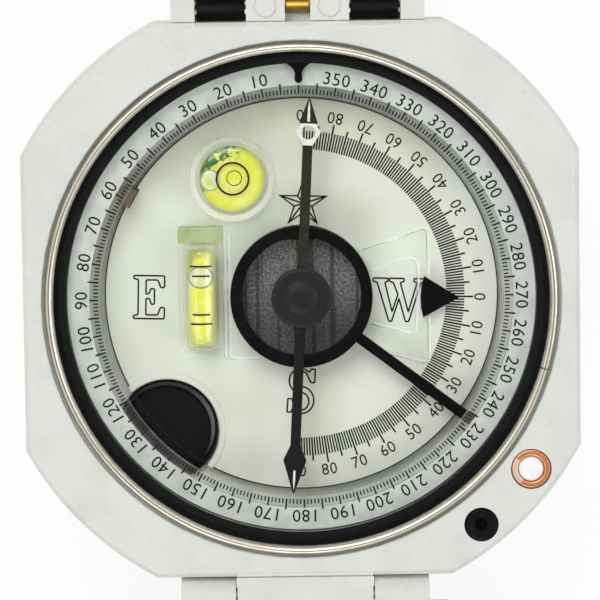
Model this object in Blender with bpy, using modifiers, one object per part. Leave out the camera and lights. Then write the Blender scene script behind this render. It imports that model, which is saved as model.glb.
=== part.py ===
"""Pocket transit (geology compass): a composite case with a dial, levels, needle and azimuth ring under glass,
a mirror lid and a slotted sighting arm. Sizes are in millimetres and become metres in the meshes. The frame's
origin is on the needle's axis in the plane of the case's back, +Y towards the sighting arm, +Z out of the glass."""

import math

import bmesh
import bpy
from mathutils import Matrix, Vector

MM = 0.001
GAP = 0.3  # between two pieces that sit on or in each other
REACH = 1.0  # how far a cutter runs past the face it opens
PLAY = 0.2  # looser fits: rings in their seats, the lid's notch, the damping disc
EDGE = 0.15  # broken edges on small turned pieces
BORE_PLAY = 0.1  # around the thin sight and lever pins
MERGE = 0.00001  # metres
ROUND = 60  # sides of the large rounds
MIDDLE = 24
SMALL = 12

# Case and lid
CASE_HALF = 35.4
CORNER_RADIUS = CASE_HALF + 4.7
CASE_HEIGHT = 22.0
LID_HEIGHT = 10.7
EDGE_BEVEL = 0.9
LID_WALL = 1.6
LID_CORNER_WALL = 5.5
LID_FLOOR = 1.6

# Well under the glass; its levels hang from the case's top
RECESS_DEPTH = 3.0
RECESS_RADIUS = 16.0
DIAL_TOP = CASE_HEIGHT - 9.6
DIAL_THICK = 1.2
DIAL_RADIUS = 25.5
RING_TOP = CASE_HEIGHT - 4.4
RING_THICK = 0.9
RING_INNER = 25.9
RING_OUTER = 30.05
GEAR_INNER = 27.5
GEAR_OUTER = 29.2
GEAR_THICK = 0.5
WASHER_INNER = 29.65
WASHER_THICK = 0.5
GLASS_THICK = 0.9
GLASS_RADIUS = 31.9
GLASS_BOTTOM = CASE_HEIGHT - 2.3
SEAL_THICK = 0.4
SEAL_INNER = 30.1
SEAL_OUTER = 31.2
SNAP_INNER = 31.6
SNAP_OUTER = 32.8
SNAP_TOP = CASE_HEIGHT - 0.1
SNAP_SPLIT_ANGLE = -16.5
SNAP_SPLIT = 0.15

# Index pin over the azimuth ring
INDEX_TIP = 27.5
INDEX_ROOT = 31.0
INDEX_ROOT_HALF = 1.65
INDEX_TIP_HALF = 0.5
INDEX_THICK = 0.4

# Round pocket in the dial
POCKET_RADIUS = 6.8
POCKET_AWAY = 25.03
POCKET_ANGLE = -135.0
POCKET_FLOOR = DIAL_TOP - 4.4
POCKET_DISC_RADIUS = 6.1
POCKET_DISC_THICK = 0.7

# Adjusting screw whose pinion turns the azimuth ring
SCREW_ANGLE = 149.5
RING_TEETH = 60
PINION_TEETH = 5
TOOTH_HEIGHT = 0.6
PINION_INNER = 27.7
PINION_OUTER = 29.0
SCREW_SHAFT = 1.0
SCREW_HEAD = 2.0
SCREW_HEAD_THICK = 1.6
SCREW_HEAD_OUT = CORNER_RADIUS - 0.7
SCREW_SLOT = 0.5
BEARING_INNER = 24.15
BEARING_OUTER = 25.65
BEARING_HALF = 1.2
JOURNAL_RADIUS = 0.6
PINION_ROOM = 0.8
SLOT_DEEP = 0.7

# Clinometer
HUB_RADIUS = 2.0
BUSHING_WALL = 1.0
CLEAR_THICK = 0.7
CLINO_BLOCK_HEIGHT = 1.9
LONG_LEVEL_X = -12.9
LONG_LEVEL_RADIUS = 2.0
LONG_LEVEL_LENGTH = 13.5
LONG_BLOCK_WIDE = 5.9
LONG_BLOCK_LONG = 16.5
ROUND_LEVEL = (-8.7, 15.2)
ROUND_LEVEL_RADIUS = 4.65
ROUND_LEVEL_CUP = 5.6
ROUND_LEVEL_HEIGHT = 3.5
POINTER_BASE_X = 15.4
POINTER_TIP_X = 20.0
POINTER_HALF = 2.7
POINTER_THICK = 0.3
DAMPER_RADIUS = 7.6
DAMPER_FLAT = 7.1
DAMPER_THICK = 0.4
LEVER_LONG = 14.0
LEVER_THICK = 1.8
LEVER_HUB = 4.0
LEVER_SCREW = 1.6
LEVER_SHANK = 0.8
LEVER_HEAD = 1.1
LEVER_SEAT = 3.0
POST_SEAT = 2.2

# Needle
NEEDLE_ANGLE = -2.7
NEEDLE_BOTTOM = CASE_HEIGHT - 5.0
NEEDLE_THICK = 0.6
NEEDLE_HALF = 0.65
NEEDLE_HUB = 3.0
NEEDLE_TIP = 25.5
NEEDLE_SOUTH_TIP = 25.4
CAP_RADIUS = 3.87
CAP_CENTRE = 1.95
CAP_RIM = 0.25
CAP_TALL = 0.5
JEWEL_RADIUS = 0.9
JEWEL_TALL = 1.0
MAGNET_RADIUS = 3.4
MAGNET_THICK = 0.5
PIVOT_RADIUS = 0.8
NEEDLE_LIFT = 0.95

# Needle lift: a lever worked by a sprung pin
LIFT_ANGLE = -37.1
LIFT_RING_INNER = 7.7
LIFT_RING_OUTER = 9.17
LIFT_BAR_WIDE = 1.35
LIFT_BAR_TALL = 0.7
LIFT_FULCRUM = 31.0
LIFT_PIN_AWAY = CORNER_RADIUS - 3.7
LIFT_PIN_RADIUS = 1.45
LIFT_PIN_STEM = 0.8
LIFT_PIN_PROUD = 0.25
LIFT_PIN_TRAVEL = 0.8
COLLAR_INNER = 1.78
COLLAR_OUTER = 2.45
COLLAR_TALL = 0.95
SPRING_WIRE = 0.2
SPRING_MEAN = 1.25
SPRING_TURNS = 3.5
FULCRUM_PIN = 0.4
FULCRUM_OVER = 1.4  # the cross pin's reach past each side of the bar
FULCRUM_BOSS = 0.8
BOSS_PROUD = 0.1

# Needle lock pin
LOCK_ANGLE = -52.1
LOCK_AWAY = CORNER_RADIUS - 3.3
LOCK_RADIUS = 2.0
LOCK_HOLE = 0.8
LOCK_TALL = 1.9
LOCK_STEM = 0.9
LOCK_STEM_LONG = 2.0
LOCK_HOLE_DEEP = 1.0
LOCK_PROUD = 0.1
LOCK_TRAVEL = 0.8

# Hinges: the barrel is flush with the case's top
HINGE_RADIUS = 2.75
HINGE_OUT = 3.05
ARM_PIN = 1.5
LID_PIN = 1.2
ARM_INNER = 1.6  # faces of the arm hinge's knuckles, from the middle out
ARM_FIRST = 6.4
ARM_SECOND = 13.1
ARM_OUTER = 16.0
LID_KNUCKLE_HALF = 8.6
LID_OUTER = 15.9
WEB_INSET = 0.5
WEB_SHY = 0.2  # webs and feet stand back from the barrels' ends, so no two faces share a plane

# Sighting arm and its folding sight
ARM_THICK = 1.6
ARM_SLOT_HALF = 2.8
ARM_SLOT_START = 12.0  # from the hinge's axis
ARM_SLOT_END = 56.0
ARM_TIP_HALF = 6.6
ARM_SHY = 0.35  # the folded arm stops this far short of the lid's end wall
ARM_TAPER = 4.0
ARM_NOSE = 0.8
PEEP_HALF = 3.1
PEEP_LONG = 9.0
PEEP_THICK = 1.2
PEEP_HOLE = 1.1
PEEP_PIN_OVER = 1.6
SIGHT_CORNER = 1.2
SIGHT_PIN = 0.4
SIGHT_BARREL = 1.1

# Lid's mirror, window and small sight
MIRROR_THICK = 1.5
WINDOW_HALF = 8.0
WINDOW_ROUND = 3.0
WINDOW_AWAY = 14.0
LID_SIGHT_HALF = 3.3
LID_SIGHT_LONG = 6.6
LID_SIGHT_LUG = 1.5
LID_SIGHT_BACK = 0.5
LID_SIGHT_OVER = 1.3  # barrel's clearance over the mirror

# Worked out from the sizes above
DIAL_BOTTOM = DIAL_TOP - DIAL_THICK
SHELF = DIAL_BOTTOM - GAP
RING_BOTTOM = RING_TOP - RING_THICK
GEAR_TOP = RING_BOTTOM - GAP
GEAR_BOTTOM = GEAR_TOP - GEAR_THICK
LEDGE = RING_BOTTOM - GAP - WASHER_THICK - GAP
WELL_RADIUS = RING_OUTER + GAP
INNER_WELL = GEAR_OUTER + 2 * PLAY
SEAL_BOTTOM = GLASS_BOTTOM - GAP - SEAL_THICK
STEP = SEAL_BOTTOM - GAP
SNAP_BOTTOM = GLASS_BOTTOM + GLASS_THICK + PLAY
PITCH_RADIUS = (PINION_INNER + PINION_OUTER) / 2
PINION_RADIUS = PITCH_RADIUS * PINION_TEETH / RING_TEETH
SCREW_Z = GEAR_BOTTOM - TOOTH_HEIGHT / 2 - PINION_RADIUS
CLEAR_BOTTOM = DIAL_TOP + GAP
CLEAR_TOP = CLEAR_BOTTOM + CLEAR_THICK
DAMPER_BOTTOM = CLEAR_TOP + GAP
LIFT_BOTTOM = DAMPER_BOTTOM + DAMPER_THICK + PLAY
LIFT_RING_TOP = NEEDLE_BOTTOM - GAP
HINGE_Z = CASE_HEIGHT - HINGE_RADIUS
HINGE_Y = CASE_HALF + HINGE_OUT
LID_Y = -2 * HINGE_Y
LID_RIM = 2 * HINGE_Z - CASE_HEIGHT - GAP
LID_BACK = LID_RIM - LID_HEIGHT
LID_INNER = LID_BACK + LID_FLOOR
ARM_TOP = 2 * HINGE_Z - CASE_HEIGHT - GAP
ARM_BOTTOM = ARM_TOP - ARM_THICK
ARM_LONG = HINGE_OUT + 2 * CASE_HALF - LID_WALL - ARM_SHY


def clear_scene():
    for old in list(bpy.data.objects):
        bpy.data.objects.remove(old, do_unlink=True)


def new_collection(name):
    made = bpy.data.collections.new(name)
    bpy.context.scene.collection.children.link(made)
    return made


def new_material(name, colour, metallic, roughness):
    made = bpy.data.materials.new(name)
    made.use_nodes = True
    shader = made.node_tree.nodes["Principled BSDF"]
    shader.inputs["Base Color"].default_value = (*colour, 1.0)
    shader.inputs["Metallic"].default_value = metallic
    shader.inputs["Roughness"].default_value = roughness
    return made


clear_scene()
PARTS = new_collection("pocket_transit")
CUTTERS = new_collection("cutters")
MATERIALS = {
    "case": new_material("case", (0.68, 0.70, 0.66), 0.0, 0.6),
    "black": new_material("black", (0.015, 0.016, 0.018), 0.0, 0.45),
    "dial": new_material("dial", (0.58, 0.60, 0.48), 0.0, 0.5),
    "ring": new_material("ring", (0.78, 0.79, 0.75), 0.0, 0.4),
    "clear": new_material("clear", (0.80, 0.86, 0.82), 0.0, 0.08),
    "liquid": new_material("liquid", (0.72, 0.78, 0.06), 0.0, 0.1),
    "steel": new_material("steel", (0.55, 0.53, 0.49), 1.0, 0.3),
    "brass": new_material("brass", (0.62, 0.45, 0.16), 1.0, 0.3),
    "copper": new_material("copper", (0.70, 0.36, 0.20), 1.0, 0.3),
    "bronze": new_material("bronze", (0.10, 0.07, 0.05), 0.6, 0.4),
    "damper": new_material("damper", (0.33, 0.34, 0.32), 0.7, 0.6),
    "mirror": new_material("mirror", (0.9, 0.9, 0.9), 1.0, 0.02),
    "white": new_material("white", (0.85, 0.85, 0.83), 0.0, 0.35),
    "seal": new_material("seal", (0.05, 0.05, 0.05), 0.0, 0.8),
}


def new_piece(name, mesh, material=None):
    """A named part with its material or, without one, a hidden shape that cuts or joins."""
    piece = bpy.data.objects.new(name, mesh)
    if material:
        PARTS.objects.link(piece)
        mesh.materials.clear()
        mesh.materials.append(MATERIALS[material])
    else:
        CUTTERS.objects.link(piece)
        piece.hide_render = True
        piece.display_type = "WIRE"
    return piece


def mesh_from(name, bm, sharp=35.0):
    bmesh.ops.recalc_face_normals(bm, faces=bm.faces)
    mesh = bpy.data.meshes.new(name)
    bm.to_mesh(mesh)
    bm.free()
    mesh.shade_smooth()
    mesh.set_sharp_from_angle(angle=math.radians(sharp))
    return mesh


def settled(piece):
    """The piece with its modifiers worked into a plain, welded mesh."""
    bpy.context.view_layer.update()
    seen = piece.evaluated_get(bpy.context.evaluated_depsgraph_get())
    mesh = bpy.data.meshes.new_from_object(seen)
    bm = bmesh.new()
    bm.from_mesh(mesh)
    bmesh.ops.remove_doubles(bm, verts=bm.verts, dist=MERGE)
    return mesh_from(piece.name, bm)


def turned(name, profile, material=None, segments=ROUND, centre=(0.0, 0.0)):
    """A profile of (radius, height) points turned about Z; it closes on itself unless it ends on the axis."""
    raw = bpy.data.meshes.new(name)
    points = [(r * MM, 0.0, z * MM) for r, z in profile]
    edges = [(i, i + 1) for i in range(len(points) - 1)]
    if profile[0][0] > 0:
        edges.append((len(points) - 1, 0))
    raw.from_pydata(points, edges, [])
    rough = new_piece(name + "_profile", raw)
    screw = rough.modifiers.new("turn", "SCREW")
    screw.axis = "Z"
    screw.steps = segments
    screw.render_steps = segments
    screw.use_merge_vertices = True
    screw.merge_threshold = MERGE
    mesh = settled(rough)
    bpy.data.objects.remove(rough, do_unlink=True)
    mesh.transform(Matrix.Translation((centre[0] * MM, centre[1] * MM, 0)))
    return new_piece(name, mesh, material)


def rod(name, radius, start, end, material=None, segments=MIDDLE):
    """A solid cylinder from one point to another."""
    a, b = Vector(start) * MM, Vector(end) * MM
    turn = (b - a).to_track_quat("Z", "Y").to_matrix().to_4x4()
    bm = bmesh.new()
    bmesh.ops.create_cone(
        bm,
        cap_ends=True,
        segments=segments,
        radius1=radius * MM,
        radius2=radius * MM,
        depth=(b - a).length,
        matrix=Matrix.Translation((a + b) / 2) @ turn,
    )
    return new_piece(name, mesh_from(name, bm), material)


def block(name, low, high, material=None, turn=0.0):
    """A box between two corners, turned about Z by some degrees."""
    low, high = Vector(low) * MM, Vector(high) * MM
    size = high - low
    place = Matrix.Rotation(math.radians(turn), 4, "Z") @ Matrix.Translation((low + high) / 2)
    bm = bmesh.new()
    bmesh.ops.create_cube(bm, size=1.0, matrix=place @ Matrix.Diagonal((*size, 1.0)))
    return new_piece(name, mesh_from(name, bm), material)


def plate(name, outline, low, high, material=None, holes=(), place=None):
    """A flat outline with holes, from one height to another."""
    curve = bpy.data.curves.new(name + "_outline", "CURVE")
    curve.dimensions = "2D"
    curve.fill_mode = "BOTH"
    curve.extrude = (high - low) / 2 * MM
    for loop in (outline, *holes):
        spline = curve.splines.new("POLY")
        spline.points.add(len(loop) - 1)
        for point, (x, y) in zip(spline.points, loop):
            point.co = (x * MM, y * MM, 0.0, 1.0)
        spline.use_cyclic_u = True
    rough = new_piece(name + "_outline", curve)
    mesh = settled(rough)
    bpy.data.objects.remove(rough, do_unlink=True)
    mesh.transform(Matrix.Translation((0, 0, (low + high) / 2 * MM)))
    if place:
        mesh.transform(place)
    return new_piece(name, mesh, material)


def combine(piece, other, operation):
    modifier = piece.modifiers.new(other.name, "BOOLEAN")
    modifier.operation = operation
    modifier.object = other


def cut(piece, *tools):
    for tool in tools:
        combine(piece, tool, "DIFFERENCE")


def join(piece, *others):
    for other in others:
        combine(piece, other, "UNION")


def bevelled(piece, width, segments=2):
    modifier = piece.modifiers.new("edges", "BEVEL")
    modifier.width = width * MM
    modifier.segments = segments
    modifier.limit_method = "ANGLE"
    modifier.angle_limit = math.radians(50)


def polar(radius, angle, centre=(0.0, 0.0)):
    turn = math.radians(angle)
    return (centre[0] + radius * math.cos(turn), centre[1] + radius * math.sin(turn))


def arc(radius, start, end, steps, centre=(0.0, 0.0)):
    return [polar(radius, start + (end - start) * i / steps, centre) for i in range(steps + 1)]


def circle(radius, segments=MIDDLE, centre=(0.0, 0.0)):
    return arc(radius, 0, 360, segments, centre)[:-1]


def squared_circle(half, radius, centre_y=0.0, steps=8):
    """A square whose corners are rounded off by one circle about its middle."""
    first = math.degrees(math.acos(half / radius))
    points = []
    for quarter in range(4):
        start = 90 * quarter + first
        points += arc(radius, start, 90 * quarter + 90 - first, steps, (0.0, centre_y))
    return points


def stadium(half_long, radius, centre, steps=8):
    """A rounded slot along X."""
    x, y = centre
    reach = half_long - radius
    return arc(radius, -90, 90, steps, (x + reach, y)) + arc(radius, 90, 270, steps, (x - reach, y))


def radial(inner, outer, angle, height):
    """The two ends of a line that points away from the needle's axis."""
    return (*polar(inner, angle), height), (*polar(outer, angle), height)


def carried(name, location, *pieces):
    """An empty on a joint's axis that carries the pieces that move with it."""
    empty = bpy.data.objects.new(name, None)
    empty.location = Vector(location) * MM
    empty.hide_render = True
    PARTS.objects.link(empty)
    bpy.context.view_layer.update()
    for piece in pieces:
        piece.parent = empty
        piece.matrix_parent_inverse = empty.matrix_world.inverted()
    return empty


def case_body():
    outline = squared_circle(CASE_HALF, CORNER_RADIUS)
    body = plate("case_body", outline, 0, CASE_HEIGHT, "case")
    bevelled(body, EDGE_BEVEL)
    spans = [
        (1, ARM_INNER, ARM_FIRST),
        (1, -ARM_FIRST, -ARM_INNER),
        (1, ARM_SECOND, ARM_OUTER),
        (1, -ARM_OUTER, -ARM_SECOND),
        (-1, -LID_KNUCKLE_HALF, LID_KNUCKLE_HALF),
    ]
    for number, (side, left, right) in enumerate(spans):
        y = side * HINGE_Y
        barrel = rod(f"case_barrel_{number}", HINGE_RADIUS, (left, y, HINGE_Z), (right, y, HINGE_Z))
        inside = side * (CASE_HALF - 3 * EDGE_BEVEL)
        web = block(
            f"case_web_{number}",
            (left, min(inside, y), HINGE_Z - HINGE_RADIUS),
            (right, max(inside, y), CASE_HEIGHT),
        )
        join(body, barrel, web)
    well = [
        (0, CASE_HEIGHT + REACH),
        (SNAP_OUTER + GAP, CASE_HEIGHT + REACH),
        (SNAP_OUTER + GAP, SNAP_BOTTOM - PLAY),
        (GLASS_RADIUS + GAP, SNAP_BOTTOM - PLAY),
        (GLASS_RADIUS + GAP, STEP),
        (WELL_RADIUS, STEP),
        (WELL_RADIUS, LEDGE),
        (INNER_WELL, LEDGE),
        (INNER_WELL, SHELF),
        (0, SHELF),
    ]
    cut(body, turned("well", well))
    cut(body, rod("back_recess", RECESS_RADIUS, (0, 0, -REACH), (0, 0, RECESS_DEPTH), segments=ROUND))
    bushing = HUB_RADIUS + GAP + BUSHING_WALL + GAP
    cut(body, rod("hub_bore", bushing, (0, 0, RECESS_DEPTH - REACH), (0, 0, SHELF + REACH)))
    pocket = polar(POCKET_AWAY, POCKET_ANGLE)
    cut(body, rod("pocket", POCKET_RADIUS - PLAY, (*pocket, POCKET_FLOOR), (*pocket, SHELF + REACH)))
    cut_index_seat(body)
    cut_screw_way(body)
    cut_lift_way(body)
    cut_lock_way(body)
    for side, pin, outer in ((1, ARM_PIN, ARM_OUTER), (-1, LID_PIN, LID_OUTER)):
        y = side * HINGE_Y
        reach = outer + REACH
        cut(body, rod(f"hinge_bore_{pin}", pin + GAP, (-reach, y, HINGE_Z), (reach, y, HINGE_Z)))
    return body


def cut_index_seat(body):
    half = INDEX_ROOT_HALF + GAP
    cut(
        body,
        block(
            "index_seat",
            (-half, WELL_RADIUS - REACH, STEP - INDEX_THICK - 2 * GAP),
            (half, INDEX_ROOT + GAP, STEP + REACH),
        ),
    )


def cut_screw_way(body):
    way = radial(PINION_INNER - 2 * GAP, PINION_OUTER + PINION_ROOM, SCREW_ANGLE, SCREW_Z)
    cut(body, rod("pinion_room", PINION_RADIUS + PINION_ROOM, *way))
    way = radial(PINION_OUTER, SCREW_HEAD_OUT, SCREW_ANGLE, SCREW_Z)
    cut(body, rod("screw_bore", SCREW_SHAFT + GAP, *way, segments=SMALL))
    way = radial(SCREW_HEAD_OUT - SCREW_HEAD_THICK - GAP, CORNER_RADIUS + REACH, SCREW_ANGLE, SCREW_Z)
    cut(body, rod("screw_counterbore", SCREW_HEAD + GAP, *way))


def cut_lift_way(body):
    x, y = polar(LIFT_PIN_AWAY, LIFT_ANGLE)
    half = LIFT_BAR_WIDE / 2 + 2 * PLAY
    low = LIFT_BOTTOM - 2 * GAP
    slot = block(
        "lift_slot",
        (INNER_WELL - REACH, -half, low),
        (LIFT_PIN_AWAY + LIFT_PIN_STEM + 2 * GAP, half, LEDGE + 0.05),
        turn=LIFT_ANGLE,
    )
    spring_room = SPRING_MEAN + SPRING_WIRE + GAP
    collar_floor = CASE_HEIGHT - COLLAR_TALL - 2 * GAP
    cut(
        body,
        slot,
        rod("lift_collar_bore", COLLAR_OUTER + GAP, (x, y, collar_floor), (x, y, CASE_HEIGHT + REACH)),
        rod("lift_spring_bore", spring_room, (x, y, spring_floor()), (x, y, collar_floor + REACH)),
        rod("lift_stem_bore", LIFT_PIN_STEM + GAP, (x, y, LEDGE - 0.5), (x, y, spring_floor() + REACH)),
    )
    across = LIFT_BAR_WIDE / 2 + FULCRUM_OVER + GAP
    cut(body, fulcrum("fulcrum_bore", FULCRUM_PIN + GAP, across))


def fulcrum(name, radius, reach, material=None):
    """A short cross rod through the lever's slot."""
    x, y = polar(LIFT_FULCRUM, LIFT_ANGLE)
    dx, dy = polar(reach, LIFT_ANGLE + 90)
    height = LIFT_BOTTOM + LIFT_BAR_TALL / 2
    return rod(name, radius, (x - dx, y - dy, height), (x + dx, y + dy, height), material, SMALL)


def spring_floor():
    return LEDGE + 1.0


def cut_lock_way(body):
    x, y = polar(LOCK_AWAY, LOCK_ANGLE)
    floor = CASE_HEIGHT - LOCK_TALL - LOCK_TRAVEL - GAP
    cut(
        body,
        rod("lock_bore", LOCK_RADIUS + PLAY, (x, y, floor), (x, y, CASE_HEIGHT + REACH)),
        rod("lock_stem_bore", LOCK_STEM + GAP, (x, y, floor - LOCK_STEM_LONG - GAP), (x, y, floor + REACH), segments=SMALL),
    )


def dial_plate():
    pocket = polar(POCKET_AWAY, POCKET_ANGLE)
    bushing = HUB_RADIUS + GAP + BUSHING_WALL + GAP
    holes = [circle(bushing, MIDDLE)]
    dial = plate("dial_plate", circle(DIAL_RADIUS, ROUND), DIAL_BOTTOM, DIAL_TOP, "dial", holes)
    half = BEARING_HALF + GAP
    cut(
        dial,
        rod("dial_pocket", POCKET_RADIUS, (*pocket, DIAL_BOTTOM - REACH), (*pocket, DIAL_TOP + REACH)),
        block(
            "dial_notch",
            (BEARING_INNER - GAP, -half, DIAL_BOTTOM - REACH),
            (DIAL_RADIUS + REACH, half, DIAL_TOP + REACH),
            turn=SCREW_ANGLE,
        ),
    )
    return dial


def pocket_disc():
    pocket = polar(POCKET_AWAY, POCKET_ANGLE)
    low = POCKET_FLOOR + GAP
    profile = [
        (0, low + POCKET_DISC_THICK),
        (POCKET_DISC_RADIUS - 0.2, low + POCKET_DISC_THICK),
        (POCKET_DISC_RADIUS, low + POCKET_DISC_THICK - 0.2),
        (POCKET_DISC_RADIUS, low),
        (0, low),
    ]
    return turned("pocket_disc", profile, "black", MIDDLE, pocket)


def ring_profile(inner, outer, low, high, edge=0.0):
    """The section of a flat ring, with its upper edges broken if wanted."""
    if not edge:
        return [(outer, high), (outer, low), (inner, low), (inner, high)]
    return [
        (outer - edge, high),
        (outer, high - edge),
        (outer, low),
        (inner, low),
        (inner, high - edge),
        (inner + edge, high),
    ]


def azimuth_ring():
    profile = ring_profile(RING_INNER, RING_OUTER, RING_BOTTOM, RING_TOP, 0.1)
    return turned("azimuth_ring", profile, "ring", ROUND)


def ring_gear():
    """A flat ring whose underside carries one tooth in every third of a pitch, pushed out of its own faces."""
    slices = 3 * RING_TEETH
    profile = ring_profile(GEAR_INNER, GEAR_OUTER, GEAR_BOTTOM, GEAR_TOP)
    gear = turned("ring_gear", profile, "white", slices)
    bm = bmesh.new()
    bm.from_mesh(gear.data)
    teeth = []
    step = 2 * math.pi / slices
    for face in bm.faces:
        middle = face.calc_center_median()
        if face.normal.z < -0.5:
            place = int(math.floor((math.atan2(middle.y, middle.x) % (2 * math.pi)) / step))
            if place % 3 == 0:
                teeth.append(face)
    made = bmesh.ops.extrude_discrete_faces(bm, faces=teeth)
    for face in made["faces"]:
        bmesh.ops.translate(bm, verts=face.verts, vec=(0, 0, -TOOTH_HEIGHT * MM))
    phase = SCREW_ANGLE - 180.0 / RING_TEETH - 60.0 / RING_TEETH
    bmesh.ops.rotate(bm, verts=bm.verts, cent=(0, 0, 0), matrix=Matrix.Rotation(math.radians(phase), 3, "Z"))
    gear.data = mesh_from("ring_gear", bm)
    gear.data.materials.append(MATERIALS["white"])
    return gear


def ring_washer():
    low = LEDGE + GAP
    profile = ring_profile(WASHER_INNER, RING_OUTER, low, low + WASHER_THICK)
    return turned("ring_washer", profile, "white", MIDDLE)


def glass_parts():
    seal = ring_profile(SEAL_INNER, SEAL_OUTER, SEAL_BOTTOM, SEAL_BOTTOM + SEAL_THICK)
    top = GLASS_BOTTOM + GLASS_THICK
    pane = [
        (0, top),
        (GLASS_RADIUS - 0.2, top),
        (GLASS_RADIUS, top - 0.2),
        (GLASS_RADIUS, GLASS_BOTTOM),
        (0, GLASS_BOTTOM),
    ]
    turned("glass_seal", seal, "seal", ROUND)
    turned("glass", pane, "clear", ROUND)


def snap_ring():
    profile = [
        (SNAP_OUTER - 0.15, SNAP_TOP),
        (SNAP_OUTER, SNAP_TOP - 0.15),
        (SNAP_OUTER, SNAP_BOTTOM),
        (SNAP_INNER, SNAP_BOTTOM),
        (SNAP_INNER, SNAP_BOTTOM + 0.5),
        (SNAP_INNER + 0.15, SNAP_BOTTOM + 0.65),
        (SNAP_INNER + 0.4, SNAP_BOTTOM + 0.7),
        (SNAP_OUTER - 0.5, SNAP_TOP),
    ]
    ring = turned("snap_ring", profile, "steel", ROUND)
    half = SNAP_SPLIT / 2
    cut(
        ring,
        block(
            "snap_split",
            (SNAP_INNER - REACH, -half, SNAP_BOTTOM - REACH),
            (SNAP_OUTER + REACH, half, SNAP_TOP + REACH),
            turn=SNAP_SPLIT_ANGLE,
        ),
    )
    return ring


def index_pin():
    """A black teardrop that reaches in over the ring and narrows with hollow sides to a round tip."""
    steps = 6
    right = []
    for i in range(steps + 1):
        along = i / steps
        width = INDEX_TIP_HALF + (INDEX_ROOT_HALF - INDEX_TIP_HALF) * along**2.2
        right.append((width, INDEX_TIP + INDEX_TIP_HALF + (INDEX_ROOT - INDEX_TIP - INDEX_TIP_HALF) * along))
    left = [(-x, y) for x, y in reversed(right)]
    tip = arc(INDEX_TIP_HALF, 180, 360, 6, (0.0, INDEX_TIP + INDEX_TIP_HALF))[1:-1]
    low = STEP - INDEX_THICK - GAP
    return plate("index_pin", right + left + tip, low, low + INDEX_THICK, "black")


def pinion_outline():
    root = GEAR_BOTTOM - TOOTH_HEIGHT - SCREW_Z - 0.15
    tip = GEAR_BOTTOM - SCREW_Z - 0.1
    pitch = 360 / PINION_TEETH
    points = []
    for tooth in range(PINION_TEETH):
        middle = 90 + tooth * pitch
        points += [polar(root, middle - 12), polar(tip, middle - 5), polar(tip, middle + 5), polar(root, middle + 12)]
    return points


def adjusting_screw():
    """Slotted head, shaft, pinion and inner journal in one turned and cut piece."""
    outer = radial(PINION_OUTER - 0.2, SCREW_HEAD_OUT - SCREW_HEAD_THICK + 0.1, SCREW_ANGLE, SCREW_Z)
    head = radial(SCREW_HEAD_OUT - SCREW_HEAD_THICK, SCREW_HEAD_OUT, SCREW_ANGLE, SCREW_Z)
    inner = radial(BEARING_INNER + 0.4, PINION_INNER + 0.2, SCREW_ANGLE, SCREW_Z)
    screw = rod("adjusting_screw", SCREW_HEAD, *head, "brass")
    turn = Matrix.Rotation(math.radians(SCREW_ANGLE), 4, "Z") @ Matrix.Rotation(math.radians(90), 4, "Y")
    spin = Matrix.Rotation(math.radians(90), 4, "Z")
    place = Matrix.Translation((0, 0, SCREW_Z * MM)) @ turn @ spin
    gear = plate("pinion", pinion_outline(), PINION_INNER, PINION_OUTER, None, (), place)
    join(
        screw,
        rod("screw_shaft", SCREW_SHAFT, *outer, segments=SMALL),
        gear,
        rod("screw_journal", JOURNAL_RADIUS, *inner, segments=SMALL),
    )
    cut(
        screw,
        block(
            "screw_slot",
            (SCREW_HEAD_OUT - SLOT_DEEP, -SCREW_SLOT / 2, SCREW_Z - SCREW_HEAD - REACH),
            (SCREW_HEAD_OUT + REACH, SCREW_SLOT / 2, SCREW_Z + SCREW_HEAD + REACH),
            turn=SCREW_ANGLE,
        ),
    )
    return screw


def pinion_bearing():
    top = SCREW_Z + JOURNAL_RADIUS + GAP + 0.8
    bearing = block(
        "pinion_bearing",
        (BEARING_INNER, -BEARING_HALF, DIAL_BOTTOM),
        (BEARING_OUTER, BEARING_HALF, top),
        "brass",
        turn=SCREW_ANGLE,
    )
    way = radial(BEARING_INNER - REACH, BEARING_OUTER + REACH, SCREW_ANGLE, SCREW_Z)
    cut(bearing, rod("journal_bore", JOURNAL_RADIUS + GAP, *way, segments=SMALL))
    return bearing


def clinometer_hub():
    """The shaft between the lever at the back and the levels under the glass, bored for the needle's post."""
    low = LEVER_THICK + 3 * GAP
    bore = PIVOT_RADIUS + GAP
    hub = rod("clinometer_hub", HUB_RADIUS, (0, 0, low), (0, 0, CLEAR_TOP), "brass")
    cut(
        hub,
        rod("post_bore", bore, (0, 0, CLEAR_TOP - POST_SEAT), (0, 0, CLEAR_TOP + REACH), segments=SMALL),
        rod("lever_screw_bore", LEVER_SHANK + GAP, (0, 0, low - REACH), (0, 0, low + LEVER_SEAT), segments=SMALL),
    )
    return hub


def clinometer_bushing():
    inner = HUB_RADIUS + GAP
    profile = ring_profile(inner, inner + BUSHING_WALL, RECESS_DEPTH + GAP, SHELF)
    return turned("clinometer_bushing", profile, "brass", MIDDLE)


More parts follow.
